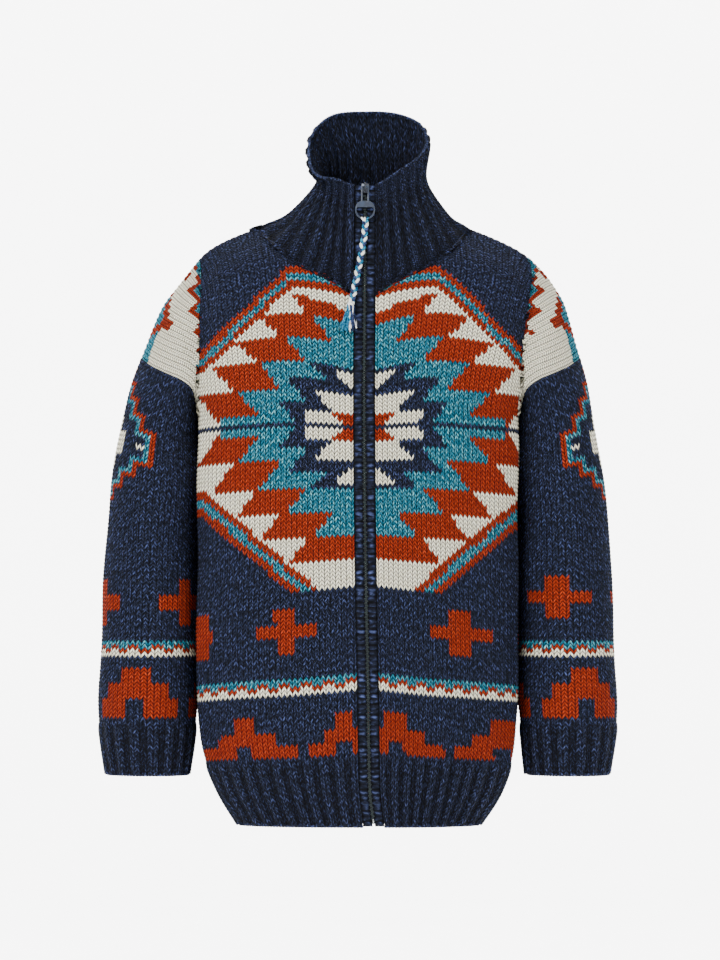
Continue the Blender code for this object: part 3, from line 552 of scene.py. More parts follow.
def cap_yarn(wale, course, out, height):
    """The shoulder's cap: cream, pennants at the chest's crease, a small motif on the outer arm."""
    yarn = np.full(wale.shape, CREAM)
    yarn[out < np.interp(height, PENNANT_HEIGHTS, RUST_REACH) / 1000] = RUST
    yarn[out < np.interp(height, PENNANT_HEIGHTS, TEAL_REACH) / 1000] = TEAL
    u, d = wale + 0.5, CAP_COURSES - course - 0.5
    yarn[(u < 6.5) & (d < 17.0 - 0.6 * u)] = TEAL
    yarn[d < 22.0 - 4.5 * np.abs(u - 8)] = RUST
    yarn[d < 13.0 - 4.5 * np.abs(u - 8)] = TEAL
    yarn[(np.abs(u - 5) < 1) & (d < 2)] = RUST
    yarn[(np.abs(u - 11) < 1) & (d < 3)] = TEAL
    yarn[(np.abs(u - 17) < 1.1) & (d < 3)] = RUST
    return yarn


def all_navy(wale, course, places):
    return np.full(wale.shape, NAVY)


# Materials

def srgb(*values):
    """A colour from 8-bit screen values."""
    shares = [v / 255 for v in values]
    return tuple(s / 12.92 if s <= 0.04045 else ((s + 0.055) / 1.055) ** 2.4 for s in shares) + (1.0,)


class Nodes:
    """A material's node tree, with short calls for what is used often."""

    def __init__(self, name):
        self.made = bpy.data.materials.new(name)
        self.made.use_nodes = True
        self.tree = self.made.node_tree
        self.shader = self.tree.nodes["Principled BSDF"]

    def put(self, node, key, value):
        if isinstance(value, bpy.types.NodeSocket):
            self.tree.links.new(value, node.inputs[key])
        elif value is not None:
            node.inputs[key].default_value = value

    def math(self, operation, a, b=None, clamp=False):
        node = self.tree.nodes.new("ShaderNodeMath")
        node.operation = operation
        node.use_clamp = clamp
        self.put(node, 0, a)
        self.put(node, 1, b)
        return node.outputs[0]

    def coordinates(self, uv=None):
        if uv:
            node = self.tree.nodes.new("ShaderNodeUVMap")
            node.uv_map = uv
            return node.outputs["UV"]
        return self.tree.nodes.new("ShaderNodeTexCoord").outputs["Object"]

    def attribute(self, name):
        node = self.tree.nodes.new("ShaderNodeAttribute")
        node.attribute_name = name
        return node.outputs["Fac"]

    def split(self, vector):
        node = self.tree.nodes.new("ShaderNodeSeparateXYZ")
        self.put(node, 0, vector)
        return node.outputs

    def join(self, x, y, z=0.0):
        node = self.tree.nodes.new("ShaderNodeCombineXYZ")
        for key, value in enumerate((x, y, z)):
            self.put(node, key, value)
        return node.outputs[0]

    def noise(self, vector, scale, detail=2.0, roughness=0.5):
        node = self.tree.nodes.new("ShaderNodeTexNoise")
        self.put(node, "Vector", vector)
        self.put(node, "Scale", scale)
        self.put(node, "Detail", detail)
        self.put(node, "Roughness", roughness)
        return node.outputs["Fac"]

    def ramp(self, factor, stops, interpolation="LINEAR"):
        node = self.tree.nodes.new("ShaderNodeValToRGB")
        node.color_ramp.interpolation = interpolation
        elements = node.color_ramp.elements
        while len(elements) < len(stops):
            elements.new(0.5)
        for element, (at, colour) in zip(elements, stops):
            element.position = at
            element.color = colour
        self.put(node, 0, factor)
        return node.outputs[0]

    def mix(self, factor, a, b, blend="MIX"):
        node = self.tree.nodes.new("ShaderNodeMix")
        node.data_type = "RGBA"
        node.blend_type = blend
        self.put(node, 0, factor)
        self.put(node, 6, a)
        self.put(node, 7, b)
        return node.outputs[2]

    def bump(self, height, strength, distance):
        node = self.tree.nodes.new("ShaderNodeBump")
        self.put(node, "Height", height)
        self.put(node, "Strength", strength)
        self.put(node, "Distance", distance)
        self.tree.links.new(node.outputs[0], self.shader.inputs["Normal"])

    def finish(self, **values):
        for key, value in values.items():
            self.put(self.shader, key.replace("_", " "), value)
        return self.made


# Yarn colours: dark ply, middle, light ply
YARNS = (
    (srgb(5, 8, 15), srgb(25, 30, 46), srgb(70, 82, 128)),
    (srgb(100, 22, 4), srgb(142, 39, 12), srgb(174, 62, 28)),
    (srgb(212, 205, 178), srgb(243, 237, 212), srgb(255, 252, 236)),
    (srgb(4, 56, 76), srgb(24, 106, 130), srgb(134, 206, 210)),
)


def wool(name):
    """Marled two-ply wool in stockinette, on stitch coordinates, in the yarn that the chart gives."""
    n = Nodes(name)
    u, v = n.split(n.coordinates("stitch"))[:2]
    inside = n.math("FRACT", u)
    off_centre = n.math("ABSOLUTE", n.math("SUBTRACT", inside, 0.5))
    rise = n.math("MULTIPLY", off_centre, 2.0 * LEG_RISE)
    course = n.math("SUBTRACT", v, rise)
    inner_slope = n.math("MULTIPLY", n.math("SUBTRACT", 0.27, off_centre), 3.7)
    outer_slope = n.math("MULTIPLY", n.math("SUBTRACT", off_centre, 0.27), 3.4)
    leg = n.math("MAXIMUM", inner_slope, outer_slope)
    leg_round = n.math("SUBTRACT", 1.0, n.math("MULTIPLY", leg, leg))
    row = n.math("MULTIPLY", n.math("ABSOLUTE", n.math("SUBTRACT", n.math("FRACT", course), 0.5)), 2.0)
    row_round = n.math("SUBTRACT", 1.0, n.math("POWER", row, 3.0))
    height = n.math("MULTIPLY", n.math("POWER", leg_round, 0.6), row_round, clamp=True)
    # the plies wind along each leg
    ply = n.noise(n.join(n.math("MULTIPLY", u, 2.6), n.math("MULTIPLY", course, 1.15)), 1.0, 2.0, 0.6)
    fibre = n.noise(n.coordinates(), 1400.0, 3.0, 0.6)
    marl = n.ramp(ply, ((0.30, (0, 0, 0, 1)), (0.72, (1, 1, 1, 1))))
    index = n.math("MULTIPLY", n.attribute("yarn"), 0.25)
    tones = [n.ramp(n.math("ADD", index, 0.125),
                    [(k * 0.25, YARNS[k][tone]) for k in range(4)], "CONSTANT") for tone in range(3)]
    low = n.mix(n.math("MULTIPLY", marl, 2.0, clamp=True), tones[0], tones[1])
    colour = n.mix(n.math("SUBTRACT", n.math("MULTIPLY", marl, 2.0), 1.0, clamp=True), low, tones[2])
    # Painted shade: the colour darkens toward the gaps between stitch legs and courses, and, by a vertex
    # attribute, between ribs and bars
    shade = n.math("ADD", 0.03, n.math("MULTIPLY", n.math("POWER", height, 1.4), 1.08))
    between_ribs_shade = n.math("SUBTRACT", 1.0, n.math("MULTIPLY", n.attribute("painted_shade"), 0.62))
    fibre_shade = n.math("ADD", 0.80, n.math("MULTIPLY", fibre, 0.40))
    shade = n.math("MULTIPLY", n.math("MULTIPLY", shade, between_ribs_shade), fibre_shade)
    colour = n.mix(1.0, colour, n.join(shade, shade, shade), "MULTIPLY")
    relief = n.math("ADD", height, n.math("MULTIPLY", fibre, 0.35))
    n.bump(relief, 1.0, 0.0016)
    return n.finish(Base_Color=colour, Roughness=0.9, Specular_IOR_Level=0.12)


def plain_yarn(name, tones):
    """Plied yarn for the pull's cord and tassel."""
    n = Nodes(name)
    where = n.coordinates()
    twist = n.noise(where, 420.0, 2.0, 0.6)
    fibre = n.noise(where, 2600.0, 2.0, 0.6)
    colour = n.ramp(twist, ((0.32, tones[0]), (0.5, tones[1]), (0.70, tones[2])))
    n.bump(n.math("ADD", twist, n.math("MULTIPLY", fibre, 0.4)), 0.6, 0.0006)
    return n.finish(Base_Color=colour, Roughness=0.9, Specular_IOR_Level=0.12)


def tape_cloth(name):
    n = Nodes(name)
    x, _, z = n.split(n.coordinates())[:3]
    twill = n.math("SINE", n.math("ADD", n.math("MULTIPLY", x, 5200.0), n.math("MULTIPLY", z, 5200.0)))
    colour = n.ramp(n.math("MULTIPLY_ADD", twill, 0.5), ((0.0, srgb(12, 15, 24)), (1.0, srgb(30, 36, 52))))
    n.bump(twill, 0.4, 0.0003)
    return n.finish(Base_Color=colour, Roughness=0.85)


def metal(name, dark, light, roughness, metallic, coat=0.0):
    """Handled metal: a slow change of tone, fine scratches and a slightly uneven gloss."""
    n = Nodes(name)
    where = n.coordinates()
    cloud = n.noise(where, 160.0, 3.0, 0.6)
    fine = n.noise(where, 1800.0, 2.0, 0.7)
    colour = n.ramp(cloud, ((0.3, dark), (0.7, light)))
    gloss = n.math("ADD", roughness - 0.06, n.math("MULTIPLY", fine, 0.12))
    n.bump(fine, 0.12, 0.0002)
    return n.finish(Base_Color=colour, Roughness=gloss, Metallic=metallic, Coat_Weight=coat)


# Knitting

def stitch_places(stitch_keys, face_places):
    """For each face, the middle of the stitch that it is part of."""
    _, stitch = np.unique(stitch_keys, return_inverse=True)
    count = np.bincount(stitch)
    return np.stack([np.bincount(stitch, face_places[:, k]) / count for k in range(3)], axis=1)[stitch]


def turn_outwards(mesh, faces, normal_of):
    """Turn a lattice's faces over if they look against the normals of its surface."""
    agreement = 0.0
    for face in faces[:: max(1, len(faces) // 200)]:
        face.normal_update()
        agreement += face.normal.dot(Vector(normal_of[face.verts[0]]))
    if agreement < 0:
        bmesh.ops.reverse_faces(mesh, faces=faces)


def knit_lattice(mesh, wales, courses, place, relief, yarn, painted_shade=None, start=0, gone=None, per_wale=2,
                 per_course=2):
    """Knit a grid of stitches into the mesh.

    place(u, v) gives points, normals and where the fabric is cut off, and relief(u, v, off_centre) how far it
    stands out. yarn(wale, course, places) gives the yarn of each stitch, the painted shade's function (u, v)
    how much the colour is darkened between ribs and bars, and gone(u, v) the stitches left out.
    """
    made = bmesh.ops.create_grid(mesh, x_segments=wales * per_wale, y_segments=courses * per_course, size=1.0)
    verts = made["verts"]
    flat = np.array([vert.co[:2] for vert in verts])
    low, high = flat.min(axis=0), flat.max(axis=0)
    flat = np.round((flat - low) / (high - low) * (wales, courses) * 4) / 4
    u, v = flat[:, 0] + start, flat[:, 1]
    off_centre = np.abs(2 * (u - np.floor(u)) - 1)
    ends = np.clip(np.minimum(v, courses - v) / 1.5, 0.0, 1.0)
    rise = LEG_RISE * off_centre
    points, normals, cut = place(u, v + (rise - LEG_RISE / 2) * ends)
    points = points + normals * np.where(cut, 0.0, relief(u, v, off_centre))[:, None]
    painted_shades = np.zeros(len(u)) if painted_shade is None else painted_shade(u, v)
    uv = np.stack([u, v + rise], axis=1)

    index_of = {vert: i for i, vert in enumerate(verts)}
    faces = list(dict.fromkeys(face for vert in verts for face in vert.link_faces))
    corners = np.array([[index_of[loop.vert] for loop in face.loops] for face in faces])
    middles = flat[corners].mean(axis=1)
    middle_u, middle_v = middles[:, 0] + start, middles[:, 1]
    wale, course = np.floor(middle_u), np.floor(middle_v)
    places = stitch_places((wale - start) * (courses + 1) + course, points[corners].mean(axis=1))
    yarns = yarn(wale, course, places)

    stitch_layer = mesh.loops.layers.uv.verify()
    yarn_layer = mesh.faces.layers.float["yarn"]
    painted_shade_layer = mesh.verts.layers.float["painted_shade"]
    for face, corner, value in zip(faces, corners, yarns):
        face[yarn_layer] = float(value)
        for loop, index in zip(face.loops, corner):
            loop[stitch_layer].uv = uv[index]
    for vert, point, depth in zip(verts, points, painted_shades):
        vert.co = point
        vert[painted_shade_layer] = float(depth)
    if gone is not None:
        lost = gone(middle_u, middle_v)
        bmesh.ops.delete(mesh, geom=[f for f, l in zip(faces, lost) if l], context="FACES")
        faces = [f for f, l in zip(faces, lost) if not l]
    turn_outwards(mesh, faces, {vert: normal for vert, normal in zip(verts, normals) if vert.is_valid})


def placed(name, data):
    piece = bpy.data.objects.new(name, data)
    bpy.context.scene.collection.objects.link(piece)
    return piece


def finished(name, data, body, slot, materials, *nodes):
    """A piece with its materials, that rides on a body and stands for nodes of the frame."""
    for material in materials:
        data.materials.append(material)
    piece = placed(name, data)
    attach(piece, body)
    if nodes:
        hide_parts(*nodes)
    return piece


def mesh_from(mesh, name):
    data = bpy.data.meshes.new(name)
    mesh.to_mesh(data)
    mesh.free()
    return data


def thicken(piece, wall):
    """Give a piece its thickness, inwards from its outer side."""
    thick = piece.modifiers.new("wall", "SOLIDIFY")
    thick.thickness = wall
    thick.offset = -1.0


def knitted(name, node, lattices, wall=WALL):
    """A knitted piece from its lattices, given its thickness."""
    mesh = bmesh.new()
    mesh.faces.layers.float.new("yarn")
    mesh.verts.layers.float.new("painted_shade")
    mesh.loops.layers.uv.new("stitch")
    for lattice in lattices:
        knit_lattice(mesh, **lattice)
    bmesh.ops.remove_doubles(mesh, verts=mesh.verts, dist=2e-5)
    for edge in mesh.edges:
        edge.smooth = not edge.is_boundary
    data = mesh_from(mesh, name)
    for polygon in data.polygons:
        polygon.use_smooth = True
    piece = finished(name, data, "cardigan", "navy_wool_knit", [navy_wool], node)
    thicken(piece, wall)


def plain_relief(u, v, off_centre):
    """Each wale stands up as a ridge of stitches."""
    across = 0.5 - off_centre
    up = np.where(np.abs(v - np.floor(v) - 0.5) < 0.1, 0.25, -0.25)
    return STITCH_DEPTH * (across + up)


def ribbed(ribbed_courses, beside_zip=False):
    """Relief of a panel whose first courses are ribbed; the ribs flatten where a band is sewn on."""
    def relief(u, v, off_centre):
        wave = np.cos(2 * math.pi * (u - 0.5) / RIB_WALES)
        rib = np.clip(0.5 + 1.4 * wave, 0.0, 1.0) * RIB_DEPTH
        share = np.clip((ribbed_courses - v) / 2.0, 0.0, 1.0)
        if beside_zip:
            rib = rib * np.clip(u / 2.5, 0.0, 1.0)
        return plain_relief(u, v, off_centre) * (1.0 - 0.4 * share) + rib * share
    return relief


def shade_between_ribs(ribbed_courses):
    """Painted shade between the ribs of a panel's first courses: how much the colour is darkened there."""
    def painted_shade(u, v):
        wave = np.cos(2 * math.pi * (u - 0.5) / RIB_WALES)
        return np.clip(RIB_SHADE - 0.9 * wave, 0.0, 1.0) * np.clip((ribbed_courses - v) / 2.0, 0.0, 1.0)
    return painted_shade


def soft_folds(points, normals, strength):
    """Low, wide swells of a heavy knit."""
    x, y, z = points[:, 0], points[:, 1], points[:, 2]
    swell = np.sin(31 * x + 17 * z + 1.3) + np.sin(-23 * x + 29 * z + 9 * y) + np.sin(47 * z + 12 * x)
    return points + normals * (swell * strength / 2)[:, None]


def body_place(surface, neck, dips, middle_column=0, tilt=0.35):
    """Where the stitches of a body panel lie; columns of the surface count from its centre line."""
    def place(u, v):
        a = np.abs(u)
        share = np.clip((v - TRUNK_COURSES) / YOKE_COURSES, 0.0, 1.0)
        column = CHEST_STEPS * a / CHEST_WALES * (1.0 + tilt * share)
        side = CHEST_STEPS + SIDE_STEPS * (a - CHEST_WALES) / SIDE_WALES
        column = np.where((v <= TRUNK_COURSES + 1) & (a > CHEST_WALES), side, column)
        cut = (v > TRUNK_COURSES + 1) & (column > CHEST_STEPS)
        column = np.where(cut, CHEST_STEPS, column)
        if dips is not None:
            b = v - CENTRE_COURSE
            v = v - np.interp(b, *dips) * np.clip(1 - a / 13, 0.0, 1.0) ** 1.5
        top = np.interp(column, np.arange(len(neck)), neck)
        cut |= v > top
        v = np.minimum(v, top)
        rows = v / TABLE_STEP
        points, normals = surface.at(rows, middle_column + np.sign(u + 1e-9) * column)
        edge = np.clip((top - v) / 3.0, 0.0, 1.0)
        yoke = np.clip((v - TRUNK_COURSES + 6) / 6, 0.0, 1.0)
        edge = edge * (1.0 - yoke * np.clip(1.0 - (CHEST_STEPS - column) / 3, 0.0, 1.0))
        folded = soft_folds(points, normals, BODY_SWELL)
        return points + (folded - points) * edge[:, None], normals, cut
    return place


def cap_place(surface):
    """Where the stitches of a shoulder's cap lie: wales along the armhole, from its edge inwards."""
    first = TRUNK_COURSES // TABLE_STEP
    stretch = surface.table[first:, CHEST_STEPS:]
    width = np.linalg.norm(np.diff(stretch, axis=1), axis=2).sum(axis=1)

    def wales_at(v):
        rows = np.clip(v / CAP_COURSES, 0.0, 1.0) * (len(width) - 1)
        return np.interp(rows, np.arange(len(width)), width) / WALE

    def place(u, v):
        share = 1.0 - u / wales_at(v)
        cut = share <= 0.0
        rows = first + np.clip(v / CAP_COURSES, 0.0, 1.0) * (len(width) - 1)
        points, normals = surface.at(rows, CHEST_STEPS + SIDE_STEPS * np.clip(share, 0.0, 1.0))
        return points, normals, cut
    return place


def seen_wales(counted, seen):
    """Wales from the centre as seen from the front, counted on round the side."""
    past = counted - CHEST_WALES
    return np.where(past > 0, CREASE_WALES + past, np.minimum(seen, CREASE_WALES))


def over_yoke_side(u, v):
    return (v > TRUNK_COURSES + 1) & (np.abs(u) > CHEST_WALES)


def join_halves(left, right):
    return np.concatenate([left[:, ::-1], right[:, 1:]], axis=1)


navy_wool = wool("navy_wool_knit")

tables = {(face, side): body_table(face, side) for face in (-1, 1) for side in (-1, 1)}
necks = {key: neck_courses(table, key[0]) for key, table in tables.items()}


def cap_lattice(face, side):
    """A cap's lattice, on its own quarter of the body."""
    table = tables[face, side]
    surface = Surface(table, outward(table, MIDDLE))
    creases = table[:, CHEST_STEPS]

    def yarn(wale, course, places):
        out = np.abs(places[:, 0] - np.interp(places[:, 2], creases[:, 2], creases[:, 0]))
        return cap_yarn(wale, course, out, places[:, 2])
    return dict(wales=CAP_WALES, courses=CAP_COURSES, place=cap_place(surface), relief=plain_relief,
                yarn=yarn)


# Lines of the edges, each with whether it is closed
edges = []


def hem_edge():
    """The hem's line, from the zip round the back to the zip."""
    rows = [tables[-1, -1][0], tables[1, -1][0, ::-1][1:], tables[1, 1][0][1:], tables[-1, 1][0, ::-1][1:]]
    line = np.concatenate(rows)
    inward = (MIDDLE - line) * (1.0, 1.0, 0.0)
    inward /= np.linalg.norm(inward, axis=1, keepdims=True)
    return line + CAST_OFF_INSET * inward


def front(side, name, cross_at):
    table = tables[-1, side]
    surface = Surface(table, outward(table, MIDDLE))
    place = body_place(surface, necks[-1, side], DIPS)

    def yarn(wale, course, places):
        out = side * (places[:, 0] - zip_point(places[:, 2])[:, 0]) - BAND_WIDTH
        return body_yarn(wale, course, seen_wales(wale + 0.5, out / WALE), cross_at, True, side < 0)
    trunk = dict(wales=CHEST_WALES + SIDE_WALES, courses=BODY_COURSES, place=place,
                 relief=ribbed(HEM_COURSES, beside_zip=True), painted_shade=shade_between_ribs(HEM_COURSES), yarn=yarn,
                 gone=over_yoke_side)
    knitted(f"{name}_knit", name, [trunk, cap_lattice(-1, side)])


def back():
    table = join_halves(tables[1, -1], tables[1, 1])
    surface = Surface(table, outward(table, MIDDLE))
    neck = (necks[1, -1] + necks[1, 1]) / 2
    half = CHEST_WALES + SIDE_WALES
    place = body_place(surface, neck, None, middle_column=CHEST_STEPS + SIDE_STEPS, tilt=0.3)

    def yarn(wale, course, places):
        out = np.abs(places[:, 0] - lean(places[:, 2])) / WALE
        counted = np.abs(wale + 0.5)
        return body_yarn(np.floor(counted), course, seen_wales(counted, out), 13.0, False, False)
    for side, name in ((-1, "back_left_knit"), (1, "back_right_knit")):
        trunk = dict(wales=half, courses=BODY_COURSES, start=min(side * half, 0), place=place,
                     relief=ribbed(HEM_COURSES), painted_shade=shade_between_ribs(HEM_COURSES), yarn=yarn,
                     gone=over_yoke_side)
        knitted(name, "back", [trunk, cap_lattice(1, side)])


def sleeve(side, name, cross_at, pyramid_at, cross_course):
    """A sleeve: rings from the armhole to the cuff, each from the inner seam round its front."""
    half_round = SLEEVE_STEPS // 2
    shares = np.concatenate([np.linspace(0, 1, half_round + 1), np.linspace(1, 0, half_round + 1)[1:-1]])
    faces = np.concatenate([-np.ones(half_round + 1), np.ones(half_round - 1)])
    turn = math.pi * shares
    armhole = smooth(ARMHOLE[:, 0], ARMHOLE[:, 1:], shares)
    armhole[:, 1] *= faces
    rings = [armhole]
    for inner_z, outer_z, inner_x, outer_x, forward, half_depth in SLEEVE:
        middle, half = (inner_x + outer_x) / 2, (outer_x - inner_x) / 2
        x = middle - half * np.sign(np.cos(turn)) * np.abs(np.cos(turn)) ** SLEEVE_SQUARE
        y = -forward + faces * half_depth * np.sin(turn) ** SLEEVE_SQUARE
        z = (inner_z + outer_z) / 2 + (inner_z - outer_z) / 2 * np.cos(turn)
        rings.append(np.stack([x, y, z], axis=1))
    rings = np.array(rings[::-1])
    knots = lengths_along(rings.mean(axis=1))
    courses = int(round(knots[-1] / SLEEVE_COURSE))
    steps = np.linspace(0.0, knots[-1], courses // TABLE_STEP + 1)
    table = smooth(knots, rings, steps)
    table[:, :, 0] = side * table[:, :, 0] + lean(table[:, :, 2])
    out = table - table.mean(axis=1, keepdims=True)
    surface = Surface(table, out, round_it=True)
    last = len(steps) - 1

    def place(u, v):
        rows = np.clip(v / courses, 0.0, 1.0) * last
        points, normals = surface.at(rows, u * SLEEVE_STEPS / SLEEVE_WALES)
        edge = np.clip((courses - v) / 6.0, 0.0, 1.0)
        folded = soft_folds(points, normals, SLEEVE_SWELL)
        return points + (folded - points) * edge[:, None], normals, v > courses

    def yarn(wale, course, places):
        return sleeve_yarn(wale, course, cross_at, pyramid_at, cross_course)
    cuff = np.concatenate([table[0], table[0, :1]])
    cuff_out = np.concatenate([surface.normals[0], surface.normals[0, :1]])
    edges.append((cuff - CAST_OFF_INSET * cuff_out, True))
    lattice = dict(wales=SLEEVE_WALES, courses=courses, place=place, relief=ribbed(CUFF_COURSES),
                   painted_shade=shade_between_ribs(CUFF_COURSES), yarn=yarn)
    knitted(f"{name}_knit", name, [lattice])


def neck_line():
    """The neckline, from the zip round the wearer's right side and the back to the zip."""
    lines = []
    for face, side in ((-1, -1), (1, -1), (1, 1), (-1, 1)):
        columns = np.arange(NECK_STEPS + 1)
        rows = necks[face, side][:NECK_STEPS + 1] / TABLE_STEP
        lines.append(sample(tables[face, side], rows, columns.astype(float)))
    return np.concatenate([lines[0], lines[1][::-1][1:], lines[2][1:], lines[3][::-1][1:]])


def collar():
    """The ribbed collar, from the neckline over its turn to its rim."""
    base = neck_line()
    shares = np.linspace(0.0, 1.0, len(base))
    turn = smooth(np.linspace(0.0, 1.0, len(COLLAR_TURN)), COLLAR_TURN, shares)
    lap = base - turn
    lap *= COLLAR_LAP / np.linalg.norm(lap, axis=1, keepdims=True)
    level_out = (base - NECK_MIDDLE) * (1.0, 1.0, 0.0)
    level_out /= np.linalg.norm(level_out, axis=1, keepdims=True)
    rings = [base + lap - COLLAR_SUNK * level_out - (0.0, 0.0, COLLAR_SUNK), turn]
    for ring in (COLLAR_NECK, COLLAR_RIM):
        rings.append(smooth(np.linspace(0.0, 1.0, len(ring)), ring, shares))
    steps = np.linspace(0.0, 1.0, COLLAR_COURSES // 2 + 1)
    table = smooth(COLLAR_SHARES, np.array(rings), steps)
    for column_index, side in ((0, -1), (-1, 1)):
        z = table[:, column_index, 2]
        table[:, column_index, 0] = zip_point(z)[:, 0] + side * (BAND_WIDTH + SEAM_GAP)
        table[:, column_index, 1] = -zip_point(z)[:, 1]
    surface = Surface(table, outward(table, NECK_MIDDLE))
    edges.append((table[-1] - CAST_OFF_INSET * surface.normals[-1], False))
    last_row, last_column = table.shape[0] - 1, table.shape[1] - 1

    def place(u, v):
        rows = np.clip(v / COLLAR_COURSES, 0.0, 1.0) * last_row
        points, normals = surface.at(rows, u / COLLAR_WALES * last_column)
        return points, normals, np.zeros(len(u), bool)

    def wave(u):
        return np.cos(2 * math.pi * (u - 1.0) / COLLAR_RIB_WALES)

    def relief(u, v, off_centre):
        rib = np.clip(0.5 + 1.3 * wave(u), 0.0, 1.0) * COLLAR_RIB_DEPTH
        return plain_relief(u, v, off_centre) * 0.6 + rib * np.clip((v - 0.5) / 5, 0, 1)

    # Painted shade between the collar's ribs, halved toward its rim
    def painted_shade(u, v):
        return np.clip(0.72 - 0.8 * wave(u), 0.0, 1.1) * (1.0 - 0.5 * np.clip((v - 20) / 6, 0.0, 1.0))
    lattice = dict(wales=COLLAR_WALES, courses=COLLAR_COURSES, place=place, relief=relief, painted_shade=painted_shade,
                   yarn=all_navy)
    knitted("collar_knit", "collar", [lattice])


def band(side, name):
    """A narrow band beside the zip: bars of yarn that lie across it."""
    near, far = (BAND_GAP, BAND_WIDTH) if side > 0 else (-BAND_WIDTH, -BAND_GAP)

    def place(u, v):
        z = HEM + u / BAND_WALES * (ZIP_TOP - HEM)
        line = zip_point(z)
        x = line[:, 0] + near + (far - near) * v
        points = np.stack([x, -line[:, 1] - BAND_PROUD, z], axis=1)
        normals = np.tile((0.0, -1.0, 0.0), (len(u), 1))
        return points, normals, np.zeros(len(u), bool)

    def relief(u, v, off_centre):
        round_edge = -0.0016 * np.abs(2 * v - 1) ** 3
        return -0.0006 * np.cos(4 * math.pi * u) + round_edge

    # Painted shade between the bars and toward the band's long edges
    def painted_shade(u, v):
        between_bars = 0.5 + 0.5 * np.cos(4 * math.pi * u)
        return 0.1 + 0.5 * np.abs(2 * v - 1) ** 2 + 0.7 * between_bars
    lattice = dict(wales=BAND_WALES, courses=1, place=place, relief=relief, painted_shade=painted_shade, yarn=all_navy,
                   per_wale=4, per_course=4)
    knitted(f"{name}_knit", name, [lattice], wall=BAND_WALL)


# Edges and zip

def cast_off(name, lines):
    """The chain of the last course along an edge: two plies that wind round each other."""
    mesh = bmesh.new()
    for line, closed in lines:
        length = lengths_along(line)
        turns = max(1, round(length[-1] / CAST_OFF_TURN))
        fine = np.linspace(0.0, 1.0, turns * 6 + 1)
        path = along(line, fine)
        side, out = frames_along(path)
        for phase in (0.0, math.pi):
            turn = (2 * math.pi * turns * fine + phase)[:, None]
            ply = path + CAST_OFF_RADIUS * 0.8 * (side * np.cos(turn) + out * np.sin(turn))
            add_tubes(mesh, [ply[:-1] if closed else ply], CAST_OFF_RADIUS, 1, closed)
    finished(name, smooth_mesh(mesh, name), "cardigan", "navy_wool_knit", [navy_edge])


def mesh_of(curve):
    """The mesh of a curve with its thickness."""
    holder = placed(curve.name, curve)
    bpy.context.view_layer.update()
    graph = bpy.context.evaluated_depsgraph_get()
    data = bpy.data.meshes.new_from_object(holder.evaluated_get(graph))
    bpy.data.objects.remove(holder, do_unlink=True)
    return data


def draw(curve, lines, closed):
    for line in lines:
        spline = curve.splines.new("POLY")
        spline.points.add(len(line) - 1)
        spline.use_cyclic_u = closed
        for point, at in zip(spline.points, line):
            point.co = (*at, 1.0)


def add_tubes(mesh, lines, radius, resolution=2, closed=False, index=0):
    """Add round tubes through lines of points to the mesh, with one of its piece's materials."""
    curve = bpy.data.curves.new("tubes", "CURVE")
    curve.dimensions = "3D"
    curve.bevel_depth = radius
    curve.bevel_resolution = resolution
    curve.use_fill_caps = True
    draw(curve, lines, closed)
    before = len(mesh.faces)
    mesh.from_mesh(mesh_of(curve))
    mesh.faces.ensure_lookup_table()
    for face in mesh.faces[before:]:
        face.material_index = index


def smooth_mesh(mesh, name):
    data = mesh_from(mesh, name)
    data.shade_smooth()
    return data


def zip_tape(side, name):
    mesh = bmesh.new()
    low, high = TAPE_ENDS
    for vert in bmesh.ops.create_grid(mesh, x_segments=2, y_segments=60, size=1.0)["verts"]:
        across, up = (vert.co.x + 1) / 2, (vert.co.y + 1) / 2
        z = low + (high - low) * up
        x, forward = zip_point(z)
        vert.co = (x + side * (TAPE_GAP + TAPE_WIDTH * across), -forward + TAPE_BEHIND, z)
    bmesh.ops.recalc_face_normals(mesh, faces=mesh.faces)
    if sum(face.normal.y for face in mesh.faces) > 0:
        bmesh.ops.reverse_faces(mesh, faces=mesh.faces)
    data = mesh_from(mesh, name)
    piece = finished(f"{name}_cloth", data, "cardigan", "zip_tape", [tape_material], name)
    thicken(piece, TAPE_WALL)


def zip_teeth():
    """Closed teeth that take turns from each side, on the tapes' meeting edges."""
    mesh = bmesh.new()
    low, high = TEETH_ENDS
    for k in range(int((high - low) / TOOTH_PITCH)):
        z = low + k * TOOTH_PITCH
        x, forward = zip_point(z)
        side = 1 if k % 2 else -1
        made = bmesh.ops.create_cube(mesh, size=1.0)["verts"]
        bmesh.ops.scale(mesh, verts=made, vec=TOOTH_SIZE)
        bmesh.ops.translate(mesh, verts=made, vec=(x + side * 0.0005, -forward + 0.0013, z))
    bmesh.ops.bevel(mesh, geom=mesh.edges[:], offset=0.0004, segments=1, affect="EDGES", profile=0.5,
                    material=-1)
    data = mesh_from(mesh, "zip_teeth")
    finished("zip_teeth", data, "cardigan", "zip_teeth", [teeth_material], "zip_chain")


def on_pull(across, down, out=0.0):
    """A point on the pull's plane: across, down from its bar, and out from the garment."""
    x, y, z = PULL_BAR
    sine, cosine = math.sin(PULL_TILT), math.cos(PULL_TILT)
    return (x + across, y - down * sine - out * cosine, z - down * cosine + out * sine)


